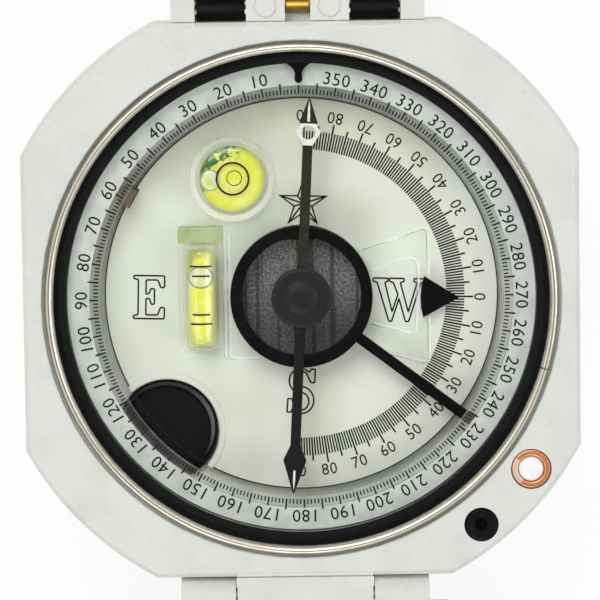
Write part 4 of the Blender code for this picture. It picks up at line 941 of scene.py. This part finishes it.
# dial, prints and pocket

dialSizes = {"top": 12.4, "bottom": 11.2, "print": 0.03, "line": 0.21, "turn": -1.7}


def dialPlate():
    pocket = places["pocket"]
    bm = bmesh.new()
    top, bottom = dialSizes["top"], dialSizes["bottom"]
    section = [(25.3, top), (25.5, top - 0.15), (25.5, bottom), (3.6, bottom), (3.6, top)]
    lathe(bm, section, 240)
    cutters = [
        cylinder(6.8, (*pocket, 10.0), (*pocket, 14.0), 128),
        block((24.85, -1.4, 10.0), (27.0, 1.4, 14.0), places["screwAngle"]),
    ]
    settled("dialSheet", carved(bm, cutters), "dial", "case", "dial_face", ("dial_plate",))


def letterPoints():
    # outlines of the three printed points of the compass, about each one's middle
    east = [(-2.0, 2.8), (2.0, 2.8), (2.0, 1.3), (1.5, 1.25), (1.15, 2.25), (-0.4, 2.25), (-0.4, 0.35)]
    east += [(0.05, 0.5), (0.2, 1.15), (0.7, 1.1), (0.7, -0.9), (0.3, -0.95), (0.05, -0.15), (-0.4, -0.15)]
    east += [(-0.4, -2.3), (1.15, -2.3), (1.5, -1.3), (2.0, -1.35), (2.0, -2.8), (-2.0, -2.8)]
    east += [(-2.0, -2.4), (-1.4, -2.3), (-1.4, 2.3), (-2.0, 2.4)]
    west = [
        (-3.34, 2.67), (-1.4, 2.67), (-1.4, 2.3), (-1.8, 2.15), (-0.8, -1.46), (-0.08, 0.68), (-0.71, 2.15)
    ]
    west += [(-1.22, 2.3), (-1.22, 2.67), (0.71, 2.67), (0.71, 2.3), (0.2, 2.15), (1.3, -1.46), (2.38, 2.15)]
    west += [(1.98, 2.3), (1.98, 2.67), (3.34, 2.67), (3.34, 2.3), (2.86, 2.15), (1.38, -2.67), (0.95, -2.67)]
    west += [(0.08, 0.16), (-0.85, -2.67), (-1.2, -2.67), (-2.8, 2.15), (-3.34, 2.3)]
    return softened(east, 0.22, 3), softened(west, 0.14, 2)


def southPoints():
    # the S follows two bowls; its stroke swells in the middle, and both ends carry a serif
    spine = arc(1.25, 25, 262, 16, (0.0, 1.3)) + arc(1.4, 82, -155, 16, (-0.05, -1.25))
    edges = []
    last = len(spine) - 1
    for side in (1, -1):
        line = []
        for i, point in enumerate(spine):
            back, on = Vector(spine[max(0, i - 1)]), Vector(spine[min(last, i + 1)])
            ahead = (on - back).normalized()
            half = 0.12 + 0.26 * math.sin(math.pi * i / last) ** 1.5
            line.append((point[0] - side * ahead.y * half, point[1] + side * ahead.x * half))
        edges.append(line)
    left, right = edges
    topFlag = [(1.25, 1.0), (1.75, 1.0), (1.8, 2.65), (1.3, 2.7), (1.1, 2.3)]
    endFlag = [(-1.2, -1.0), (-1.7, -1.0), (-1.8, -2.65), (-1.3, -2.7), (-1.15, -2.3)]
    return softened(topFlag + right[2:-2] + endFlag + left[2:-2][::-1], 0.12, 2)


# each letter's middle and how much taller it is drawn
printSizes = {
    "east": (-19.75, -0.74, 1.0),
    "west": (12.6, -0.59, 1.05),
    "south": (0.17, -12.64, 1.06),
    "star": (0.03, 11.76),
    "starTip": 3.15,
    "starDip": 1.2,
    "figureAt": 23.15,
    "figureTall": 1.5,
}


def dialPrints():
    top, line = dialSizes["top"], dialSizes["line"]
    low, high = top - 0.01, top + dialSizes["print"]
    east, west = letterPoints()
    bm = bmesh.new()
    letters = {"east": east, "west": west, "south": southPoints()}
    for name, points in letters.items():
        across, along, tall = printSizes[name]
        drawn(bm, [(x + across, y * tall + along) for x, y in points], line, low, high)
    middle = printSizes["star"]
    tips = [polar(printSizes["starTip"], 90 + 72 * i, middle) for i in range(5)]
    dips = [polar(printSizes["starDip"], 126 + 72 * i, middle) for i in range(5)]
    star = [point for pair in zip(tips, dips) for point in pair]
    drawn(bm, star, line, low, high)
    for point in star:
        way = math.degrees(math.atan2(point[1] - middle[1], point[0] - middle[0]))
        drawn(bm, [polar(0.05, way, middle), point], line, low, high, False)
    bm.transform(Matrix.Rotation(math.radians(dialSizes["turn"]), 4, "Z"))
    settled("dialLettering", bm, "dialInk", "case", "dial_face")
    sizes = {
        "Count": 181,
        "Start": dialSizes["turn"] - 90.0,
        "Step": 1.0,
        "Inner": 18.8,
        "Short": 2.35,
        "Fifth": 3.05,
        "Tenth": 3.5,
    }
    sizes.update({"Width": 0.19, "Wider": 0.22, "Height": 0.04, "Level": top + 0.01})
    grown("clinometerMarks", "fan", sizes, "dialInk", "case", "dial_face")
    bm = bmesh.new()
    for tens in range(-9, 10):
        turn = 10.0 * tens + dialSizes["turn"]
        spot = polar(printSizes["figureAt"], turn)
        figure(bm, str(abs(10 * tens)), spot, printSizes["figureTall"], turn + 90.0, low, high, 0.95)
    settled("clinometerFigures", bm, "dialInk", "case", "dial_face")
    lathed(
        "dialEdge",
        [(25.36, top - 0.1), (25.36, top + 0.04), (25.5, top + 0.04), (25.5, top - 0.1)],
        (240,),
        "dialInk",
        "case",
        "dial_face",
    )


pocketSizes = {
    "lip": (6.85, 7.65),
    "lipTop": 12.6,
    "disc": 5.8,
    "discTop": 10.6,
    "discBottom": 8.3,
    "shift": (-0.22, -0.3),
}


def pocketPieces():
    # a raised lip around the pocket, the dark wall below it and the disc at its bottom
    pocket = places["pocket"]
    bm = bmesh.new()
    inner, outer = pocketSizes["lip"]
    top = pocketSizes["lipTop"]
    lip = softened([(inner, 12.0), (inner, top), (outer, top), (outer, 12.2)], [0, 0.15, 0.15, 0], 3)
    lathe(bm, lip, 128, pocket)
    cutter = bmesh.new()
    lathe(cutter, [(25.55, 10.0), (34.0, 10.0), (34.0, 15.0), (25.55, 15.0)], 160)
    settled("pocketLip", carved(bm, [cutter]), "dial", "case", "dial_face")
    section = softened(
        [(6.15, 8.1), (6.15, 9.3), (6.35, 11.9), (6.55, 11.9), (6.55, 8.1)], [0, 0.1, 0.1, 0.1, 0], 2
    )
    lathed("pocketWall", section, (128, pocket), "rubber", "case", "black_plastic")
    r, top, bottom = (pocketSizes[k] for k in ("disc", "discTop", "discBottom"))
    section = [(0, top), (r - 0.2, top), (r - 0.05, top - 0.05), (r, top - 0.2), (r, bottom), (0, bottom)]
    middle = tuple(Vector(pocket) + Vector(pocketSizes["shift"]))
    lathed("pocketDisc", section, (128, middle), "disc", "case", "black_plastic", ("pocket_disc",))


dialPlate()
dialPrints()
pocketPieces()
print("dial made")

# azimuth ring, window and their rims

ringSizes = {
    "inner": 25.9,
    "clearTo": 27.2,
    "outer": 30.05,
    "low": 16.7,
    "high": 17.6,
    "soft": 0.08,
    "print": 0.03,
    "figureAt": 28.27,
    "figureTall": 1.6,
}


def azimuthRing():
    low, high = ringSizes["low"], ringSizes["high"]
    common = {"Low": low, "High": high, "Soft": ringSizes["soft"]}
    face = {"Inner": ringSizes["clearTo"] + 0.01, "Outer": ringSizes["outer"], **common}
    grown("ringFace", "band", face, "ring", "azimuth", "ring_face", ("azimuth_ring",))
    clear = {"Inner": ringSizes["inner"], "Outer": ringSizes["clearTo"], **common}
    grown("ringClear", "band", clear, "ringClear", "azimuth", "ring_face", ("azimuth_ring",))
    sizes = {
        "Count": 360, "Start": 90.0, "Step": 1.0, "Inner": 26.1, "Short": 0.62, "Fifth": 1.4, "Tenth": 1.1
    }
    sizes.update({"Width": 0.17, "Wider": 0.21, "Height": 0.04, "Level": high + 0.01})
    grown("ringMarks", "fan", sizes, "ink", "azimuth", "ring_face")
    bm = bmesh.new()
    for tens in range(36):
        turn = 90.0 + 10.0 * tens
        spot = polar(ringSizes["figureAt"], turn)
        top = high + ringSizes["print"]
        figure(bm, str(10 * tens), spot, ringSizes["figureTall"], turn - 90.0, high - 0.01, top)
    settled("ringFigures", bm, "ink", "azimuth", "ring_face")


rimSizes = {
    "pane": 31.9,
    "paneLow": 19.7,
    "paneHigh": 20.6,
    "snap": (32.2, 20.85),
    "snapHalf": (0.6, 1.05),
    "snapStart": -16.36,
    "snapSweep": 359.72,
}


def rims():
    section = [
        (30.1, 18.98), (30.1, 19.32), (30.3, 19.4), (31.1, 19.4), (31.2, 19.25), (31.75, 19.1), (32.1, 18.95)
    ]
    lathed(
        "glassSeal",
        section + [(32.1, 18.78), (31.2, 18.78), (31.2, 18.95)],
        (200,),
        "rubber",
        "case",
        "seal_rubber",
        ("glass_seal",),
    )
    r, low, high = (rimSizes[k] for k in ("pane", "paneLow", "paneHigh"))
    section = [(0, high), (r - 0.15, high), (r, high - 0.15), (r, low + 0.15), (r - 0.15, low), (0, low)]
    lathed("windowPane", section, (200,), "window", "case", "window_glass", ("glass",))
    (r, z), (half, rise) = rimSizes["snap"], rimSizes["snapHalf"]
    section = [(r + half * c, z + rise * s) for c, s in arc(1.0, 180, 0, 14)]
    section += [(r + half, z - 0.03), (r - half, z - 0.03)]
    turning = (240, (0.0, 0.0), rimSizes["snapStart"], rimSizes["snapSweep"])
    lathed("snapRing", section, turning, "steel", "case", "ring_steel", ("snap_ring",))


def indexPointer():
    # a flat black teardrop with hollow sides
    right = [(0.4 + 1.25 * (i / 10) ** 2.4, 28.36 + 1.74 * i / 10) for i in range(11)] + [(1.7, 31.0)]
    tip = arc(0.5, 143, 397, 16, (0.0, 28.05))
    bm = bmesh.new()
    flat(bm, right + [(-x, y) for x, y in reversed(right)] + tip, 18.0, 18.4)
    rounded(bm, 0.07)
    settled("indexPointer", bm, "painted", "case", "black_plastic", ("index_pin",))


azimuthRing()
rims()
indexPointer()
print("azimuth ring, pane and rims made")

# needle

needleSizes = {"lean": -3.1, "low": 17.0, "high": 17.6, "half": 0.65, "hub": 3.0, "paint": 0.03}


def needlePieces():
    lean, low, high, half, hub = (needleSizes[k] for k in ("lean", "low", "high", "half", "hub"))
    right = [(half, -4.95), (half * 1.25, -3.75), (hub * 0.8, -1.8), (hub, 0.0), (hub * 0.8, 1.8)]
    right += [
        (half * 1.25, 3.75),
        (half, 4.95),
        (half, 19.45),
        (1.62, 21.3),
        (0.86, 22.3),
        (1.2, 22.38),
        (0.12, 25.5),
    ]
    south = [(0.1, -25.38), (1.5, -21.1), (half, -19.2)]
    loop = south + right + [(-x, y) for x, y in reversed(south + right)]
    eye = [polar(0.92, a, (0.0, 21.2)) for a in range(0, 360, 12)]
    bearing = [polar(1.2, a) for a in range(0, 360, 15)]
    bm = bmesh.new()
    flat(bm, loop, low, high, (eye, bearing), lean)
    rounded(bm, 0.09)
    settled("needleBlade", bm, "blade", "needle", "needle_bronze", ("needle_blade",))
    top, over = high - 0.01, high + needleSizes["paint"]
    bm = bmesh.new()
    spade = [(0.62, 19.55), (1.64, 21.3), (0.88, 22.34), (-0.88, 22.34), (-1.64, 21.3), (-0.62, 19.55)]
    hole = [polar(0.9, a, (0.0, 21.2)) for a in range(0, 360, 12)]
    flat(bm, spade, high - 0.2, over, (hole,), lean)
    flat(bm, [(0.17, 22.6), (0.13, 24.4), (0.0, 25.3), (-0.13, 24.4), (-0.17, 22.6)], top, over, (), lean)
    flat(
        bm, [(0.0, -25.0), (0.14, -23.8), (0.12, -22.4), (-0.12, -22.4), (-0.14, -23.8)], top, over, (), lean
    )
    settled("needlePaint", bm, "paint", "needle", "white_plastic")
    section = [
        (0, 18.52),
        (0.8, 18.5),
        (1.4, 18.42),
        (1.8, 18.28),
        (2.0, 18.1),
        (2.2, 18.02),
        (2.7, 18.1),
        (3.3, 18.14),
    ]
    section += [(3.6, 18.1), (3.8, 18.0), (3.87, 17.92), (3.8, 17.86), (0, 17.86)]
    lathed("needleCap", section, (96,), "cap", "needle", "black_plastic", ("needle_cap",))


needlePieces()
print("needle made")

# levels and their clear wings

def ball(bm, centre, reach):
    # a squashed ball
    place = Matrix.Translation(Vector(centre)) @ Matrix.Diagonal((*reach, 1.0))
    bmesh.ops.create_uvsphere(bm, u_segments=48, v_segments=24, radius=1.0, matrix=place)


def roundLevel():
    middle = levelSizes["round"]
    finishes["spiritRound"] = spiritFinish("spiritRound", middle, (4.3, 4.3), 0.2, 1.0)
    finishes["bubbleRound"] = bubbleFinish("bubbleRound", levelSizes["bubble"], (1.42, 1.42))
    section = [(0, 16.25), (1.6, 16.22), (3.2, 16.08), (4.2, 15.9), (4.5, 15.72), (4.65, 15.4), (4.65, 12.9)]
    lathed(
        "roundVial",
        section + [(4.5, 12.75), (0, 12.75)],
        (128, middle),
        "vial",
        "clinometer",
        "clear_plastic",
        ("round_level",),
    )
    section = [
        (0, 15.85),
        (1.6, 15.83),
        (3.2, 15.7),
        (3.95, 15.5),
        (4.2, 15.15),
        (4.25, 13.2),
        (4.1, 13.0),
        (0, 13.0),
    ]
    lathed("roundSpirit", section, (128, middle), "spiritRound", "clinometer", "level_liquid")
    # the cup's clear wall: a pale shell whose finish paints the light it refracts
    section = softened([(4.7, 14.7), (4.7, 15.75), (5.55, 15.45), (5.55, 14.7)], [0.05, 0.25, 0.3, 0.05], 4)
    lathed("roundCup", section, (128, middle), "cup", "clinometer", "clear_plastic")
    bm = bmesh.new()
    ball(bm, (*levelSizes["bubble"], 15.68), (1.42, 1.42, 0.3))
    settled("roundBubble", bm, "bubbleRound", "clinometer", "level_liquid")
    lathed(
        "roundTarget",
        [(1.93, 16.19), (1.93, 16.27), (2.17, 16.25), (2.17, 16.17)],
        (96, levelSizes["target"]),
        "ink",
        "clinometer",
        "black_plastic",
    )
    lathed(
        "roundCentre",
        [(0.9, 15.84), (0.9, 15.89), (1.0, 15.89), (1.0, 15.84)],
        (64, levelSizes["centre"]),
        "dialInk",
        "clinometer",
        "black_plastic",
    )


def alongY(bm):
    # a piece turned about Z is laid along Y on the long level's axis
    place = Matrix.Translation((levelSizes["tubeX"], 0.0, levelSizes["tubeZ"]))
    bm.transform(place @ Matrix.Rotation(math.radians(-90), 4, "X"))


def longLevel():
    x, z, half = levelSizes["tubeX"], levelSizes["tubeZ"], levelSizes["tubeHalf"]
    finishes["spiritLong"] = spiritFinish("spiritLong", (x, 0.0), (1.95, 6.4), 1.0, 0.0)
    finishes["bubbleLong"] = bubbleFinish("bubbleLong", (x, levelSizes["tubeBubbleY"]), (1.74, 1.5))
    for name, finish, r, reach, edge, node in (
        ("tubeVial", "vial", 2.0, half, 0.45, ("long_level",)),
        ("tubeSpirit", "spiritLong", 1.93, half - 0.55, 0.7, ()),
    ):
        bm = bmesh.new()
        section = [(0, reach), (r, reach), (r, -reach), (0, -reach)]
        lathe(bm, softened(section, edge, 5, False), 64)
        alongY(bm)
        slot = "clear_plastic" if node else "level_liquid"
        settled(name, bm, finish, "clinometer", slot, node)
    bm = block((x - 2.9, half + 0.15, 12.9), (x + 2.9, half + 2.35, 15.6))
    rounded(bm, 0.3, 3)
    settled("tubeCap", bm, "capClear", "clinometer", "clear_plastic")
    bm = bmesh.new()
    ball(bm, (0.0, 0.0, 0.0), (1.0, 1.0, 1.0))
    for v in bm.verts:
        # the ball is laid on the tube's wall
        turn, out = math.radians(62) * v.co.x, 1.93 + 0.045 * v.co.z
        v.co = (x + out * math.sin(turn), levelSizes["tubeBubbleY"] + 1.5 * v.co.y, z + out * math.cos(turn))
    settled("tubeBubble", bm, "bubbleLong", "clinometer", "level_liquid")
    bm = bmesh.new()
    for y, reach in levelSizes["lines"]:
        # each line is a strip of a thin sleeve around the vial's top
        sleeve = bmesh.new()
        section = [(1.995, y - 0.1), (1.995, y + 0.1), (2.035, y + 0.1), (2.035, y - 0.1)]
        lathe(sleeve, section, 16, start=90 - reach, sweep=2 * reach)
        sleeve.transform(Matrix.Rotation(math.radians(180), 4, "Z"))
        alongY(sleeve)
        mesh = bpy.data.meshes.new("sleeve")
        sleeve.to_mesh(mesh)
        sleeve.free()
        bm.from_mesh(mesh)
    settled("tubeLines", bm, "ink", "clinometer", "black_plastic")


roundLevel()
longLevel()
print("levels made")

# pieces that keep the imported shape, with broken edges

kept = (
    ("clinometer_plate", "clearWings", "clear", "clinometer", "clear_plastic", 0.2),
    ("clinometer_pointer", "levelPointer", "painted", "clinometer", "black_plastic", 0.05),
    ("damping_disc", "dampingDisc", "damper", "clinometer", "damper_metal", 0.06),
    ("clinometer_hub", "levelShaft", "brass", "clinometer", "brass", 0.08),
    ("clinometer_lever", "backLever", "moulded", "clinometer", "black_plastic", 0.25),
    ("clinometer_screw", "leverScrew", "pin", "clinometer", "pin_steel", 0.1),
    ("pivot_post", "pivotPost", "pin", "clinometer", "pin_steel", 0.0),
    ("clinometer_bushing", "shaftBush", "brass", "case", "brass", 0.05),
    ("needle_jewel", "needleJewel", "copper", "needle_seat", "copper_ring", 0.04),
    ("needle_magnet", "needleMagnet", "pin", "needle", "pin_steel", 0.05),
    ("lift_lever", "liftLever", "painted", "lifter", "black_paint", 0.07),
    ("lift_lever_pin", "liftLeverPin", "pin", "case", "pin_steel", 0.05),
    ("pinion_bearing", "pinionBearing", "bronze", "case", "bearing_bronze", 0.12),
    ("adjusting_screw", "adjustingScrew", "brass", "adjuster", "brass", 0.06),
    ("ring_gear", "ringGear", "white", "azimuth", "white_plastic", 0.0),
    ("ring_washer", "ringWasher", "white", "case", "white_plastic", 0.0),
    ("lid_shell", "lidShell", "composite", "lid", "case_composite", 0.18),
    ("mirror", "mirrorPlate", "mirror", "lid", "mirror_glass", 0.25),
    ("lid_sight_pin", "lidSightPin", "pin", "lid", "pin_steel", 0.04),
    ("lid_sight", "lidSight", "painted", "lid_flap", "black_paint", 0.12),
    ("lid_hinge_pin", "lidHingePin", "pin", "case", "pin_steel", 0.15),
    ("sighting_arm", "sightingArm", "painted", "arm", "black_paint", 0.2),
    ("peep_sight_pin", "peepSightPin", "pin", "arm", "pin_steel", 0.04),
    ("peep_sight", "peepSight", "painted", "arm_sight", "black_paint", 0.12),
    ("arm_hinge_pin", "armHingePin", "brass", "case", "brass", 0.2),
)
for node, piece, finish, body, slot, edge in kept:
    made = refined(node, piece, finish, body, slot, edge)
    if piece in ("pinionBearing", "adjustingScrew"):
        # the bearing stands half under the ring, and the screw's end stays inside it
        out = Vector((*polar(1.0, places["screwAngle"]), 0.0))
        for v in made.data.vertices:
            far = v.co.dot(out)
            v.co += out * (0.85 * mm if piece == "pinionBearing" else max(0.0, 25.1 * mm - far))
    elif piece == "levelPointer":
        turned = Matrix.Rotation(math.radians(dialSizes["turn"]), 4, "Z") @ Matrix.Translation(
            (0.4 * mm, 0.0, 0.0)
        )
        made.data.transform(turned)
    elif piece == "dampingDisc":
        # it runs on under the lift lever's ring, with a flat to the north
        made.data.transform(Matrix.Diagonal((1.06, 1.06, 1.0, 1.0)))
        for v in made.data.vertices:
            v.co.y = min(v.co.y, 7.2 * mm)
        damperLow = min(v.co.z for v in made.data.vertices) / mm


def wingEdges():
    # painted highlights and painted shade lines run along the moulding's rims; a dark tray shows around the
    # damping disc
    top = levelSizes["plateTop"]
    paths = (
        softened(
            [(8.2, 5.95), (12.4, 7.3), (16.5, 8.7), (16.6, -9.1), (10.6, -7.4), (7.9, -5.9)], 0.9, 4, False
        ),
        softened(
            [(9.3, 3.1), (14.3, 4.8), (15.2, 4.0), (15.2, -0.2), (14.8, -5.3), (9.1, -3.7)], 0.5, 4, False
        ),
        softened([(-9.25, 8.2), (-9.25, -8.05), (-5.2, -8.15)], 0.4, 4, False),
        softened([(-9.85, 8.9), (-9.85, -7.9)], 0.4, 4, False),
    )
    for name, finish, shift, width in (
        ("wingHighlights", "rimHighlight", 0.0, 0.2), ("wingShades", "rimShade", 0.24, 0.14)
    ):
        bm = bmesh.new()
        for path in paths:
            drawn(bm, [(x - shift, y - shift) for x, y in path], width, top - 0.02, top + 0.06, False)
        settled(name, bm, finish, "clinometer", "clear_plastic")
    lathed(
        "damperTray",
        [(4.0, damperLow + 0.05), (4.0, damperLow + 0.25), (8.6, damperLow + 0.25), (8.6, damperLow + 0.05)],
        (128,),
        "moulded",
        "clinometer",
        "black_plastic",
    )


wingEdges()
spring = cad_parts["lift_pin_spring"]
for place in spring.material_slots:
    place.material = finishes["pin"]
print("kept pieces made")

# pins in the case's lower right corner

pinSizes = {
    "lift": 1.6,
    "liftStem": 0.8,
    "liftShoulder": 20.85,
    "liftEnd": 15.72,
    "lock": 2.0,
    "lockStem": 0.9,
    "lockShoulder": 20.2,
    "lockEnd": 18.25,
    "sleeve": 1.93,
    "sleeveHalf": 1.5,
}


def cornerPins():
    lift, lock = places["liftPin"], places["lockPin"]
    r, stem, shoulder, end = (pinSizes[k] for k in ("lift", "liftStem", "liftShoulder", "liftEnd"))
    dome = [(0, 22.25), (0.5, 22.22), (0.95, 22.1), (1.3, 21.97), (1.52, 21.75), (r, 21.45)]
    section = dome + [(r, shoulder), (stem, shoulder), (stem, end), (0, end)]
    lathed("liftPin", section, (64, lift), "white", "lift_button", "white_plastic", ("lift_pin",))
    section = softened([(1.66, 20.9), (1.66, 21.85), (2.5, 21.85), (2.5, 20.9)], [0.05, 0.3, 0.3, 0.05], 4)
    lathed(
        "liftCollar",
        section,
        (96, lift, -126.0, 268.0),
        "copper",
        "case",
        "copper_ring",
        ("lift_pin_collar",),
    )
    # a pale copper ring shows in the collar's gap: a painted highlight
    section = softened([(1.68, 20.85), (1.68, 21.7), (2.44, 21.7), (2.44, 20.85)], [0.05, 0.2, 0.2, 0.05], 4)
    lathed("collarHighlight", section, (96, lift), "copperHighlight", "case", "copper_ring")
    r, stem, shoulder, end = (pinSizes[k] for k in ("lock", "lockStem", "lockShoulder", "lockEnd"))
    section = [(0, 21.1), (0.8, 21.1), (0.8, 21.95), (0.92, 22.08), (1.8, 22.1), (1.94, 22.04), (r, 21.9)]
    section += [(r, shoulder), (stem, shoulder), (stem, end), (0, end)]
    lathed("lockPin", section, (72, lock), "moulded", "lock_button", "black_plastic", ("lock_pin",))


def hingeSleeve():
    # the brass barrel that shows between the two middle knuckles
    bm = bmesh.new()
    r, half = pinSizes["sleeve"], pinSizes["sleeveHalf"]
    section = softened([(0, -half), (r, -half), (r, half), (0, half)], [0, 0.12, 0.12, 0], 3, False)
    lathe(bm, section, 64)
    place = Matrix.Translation((0.0, caseSizes["hingeY"], caseSizes["hingeZ"]))
    bm.transform(place @ Matrix.Rotation(math.radians(90), 4, "Y"))
    settled("hingeSleeve", bm, "brass", "case", "brass")


cornerPins()
hingeSleeve()
print("pins made")

# studio

studioSizes = {
    "floor": 1.6,
    "floorDrop": 0.0006,
    "floorGlow": 0.9,
    "overhead": 0.88,
    "distance": 0.45,
    "lens": 212.6,
    "tilt": 5.5,
    "roll": 0.8,
    "target": (-0.19, 0.127, 22.0),
}
# each lamp's place, its two sides and its power
softboxes = {
    "keyBox": ((-0.2, 0.48, 0.72), (0.5, 0.45), 3.2),
    "southBox": ((-0.2, -0.7, 0.55), (0.6, 0.35), 1.9),
    "eastBox": ((0.7, 0.0, 0.45), (0.3, 0.6), 1.3),
}


def studioFloor():
    # pale floor: the camera sees it nearly white, with the object's soft shadow kept
    f, x, y, z, spot = begun("studioFloor")
    soft = f.noise(spot, 0.004, 2.0, 0.5)
    tone = f.mix(soft, ink("f3f3f2"), ink("f7f7f6"))
    matt = f.take("ShaderNodeBsdfDiffuse", 0, {}, {"Color": tone})
    glow = f.take("ShaderNodeEmission", 0, {}, {"Color": ink("ffffff"), "Strength": 1.0})
    path = f.add("ShaderNodeLightPath")
    seen = f.clamped(Val(f, path.outputs["Is Camera Ray"]) + Val(f, path.outputs["Is Glossy Ray"]))
    seen = f.clamped(seen + Val(f, path.outputs["Is Transmission Ray"])) * studioSizes["floorGlow"]
    both = f.take("ShaderNodeMixShader", 0, {}, {0: seen, 1: matt, 2: glow})
    bpy.ops.mesh.primitive_plane_add(
        size=studioSizes["floor"] * 2, location=(0, 0, -studioSizes["floorDrop"])
    )
    floor = bpy.context.object
    floor.name = "studioFloor"
    floor.data.materials.append(f.done(both))


def studioWorld():
    world = bpy.data.worlds.new("studioWorld")
    world.use_nodes = True
    world.node_tree.nodes.clear()
    w = Maker(world.node_tree)
    path = w.add("ShaderNodeLightPath")
    seen, gloss, through = (
        Val(w, path.outputs[k]) for k in ("Is Camera Ray", "Is Glossy Ray", "Is Transmission Ray")
    )
    way = w.add("ShaderNodeSeparateXYZ", {}, {"Vector": w.take("ShaderNodeTexCoord", "Generated")})
    settings = {"interpolation_type": "SMOOTHSTEP"}
    values = {"Value": Val(w, way.outputs["Z"]), "From Min": 0.7, "From Max": 0.9}
    overhead = w.take("ShaderNodeMapRange", 0, settings, values)
    direct = w.take("ShaderNodeClamp", 0, {}, {"Value": seen + through})
    plain = w.take("ShaderNodeClamp", 0, {}, {"Value": 1.0 - seen - through - gloss})
    strength = direct + gloss * (1.0 - overhead * studioSizes["overhead"]) + plain * 0.5
    sky = w.take("ShaderNodeBackground", 0, {}, {"Color": (1.0, 1.0, 1.0, 1.0), "Strength": strength})
    w.add("ShaderNodeOutputWorld", {}, {"Surface": sky})
    bpy.context.scene.world = world


def softbox(name, spot, size, power):
    lamp = bpy.data.lights.new(name, "AREA")
    lamp.shape = "RECTANGLE"
    lamp.size, lamp.size_y = size
    lamp.energy = power
    holder = bpy.data.objects.new(name, lamp)
    bpy.context.scene.collection.objects.link(holder)
    holder.location = spot
    holder.rotation_euler = (-Vector(spot)).to_track_quat("-Z", "Y").to_euler()


def studioCamera():
    tilt, roll = math.radians(studioSizes["tilt"]), math.radians(studioSizes["roll"])
    target = Vector(studioSizes["target"]) * mm
    out = Vector((0.0, math.sin(tilt), math.cos(tilt)))
    up = Vector((math.sin(roll), math.cos(roll), 0.0))
    across = up.cross(out).normalized()
    up = out.cross(across)
    lens = bpy.data.cameras.new("studioCamera")
    lens.lens = studioSizes["lens"]
    lens.sensor_width = 36.0
    lens.clip_start = 0.01
    camera = bpy.data.objects.new("studioCamera", lens)
    bpy.context.scene.collection.objects.link(camera)
    turn = Matrix((across, up, out)).transposed().to_4x4()
    camera.matrix_world = Matrix.Translation(target + out * studioSizes["distance"]) @ turn
    bpy.context.scene.camera = camera


studioFloor()
studioWorld()
for name, (spot, size, power) in softboxes.items():
    softbox(name, spot, size, power)
studioCamera()
bpy.context.scene.view_settings.view_transform = "Standard"
print("studio set")
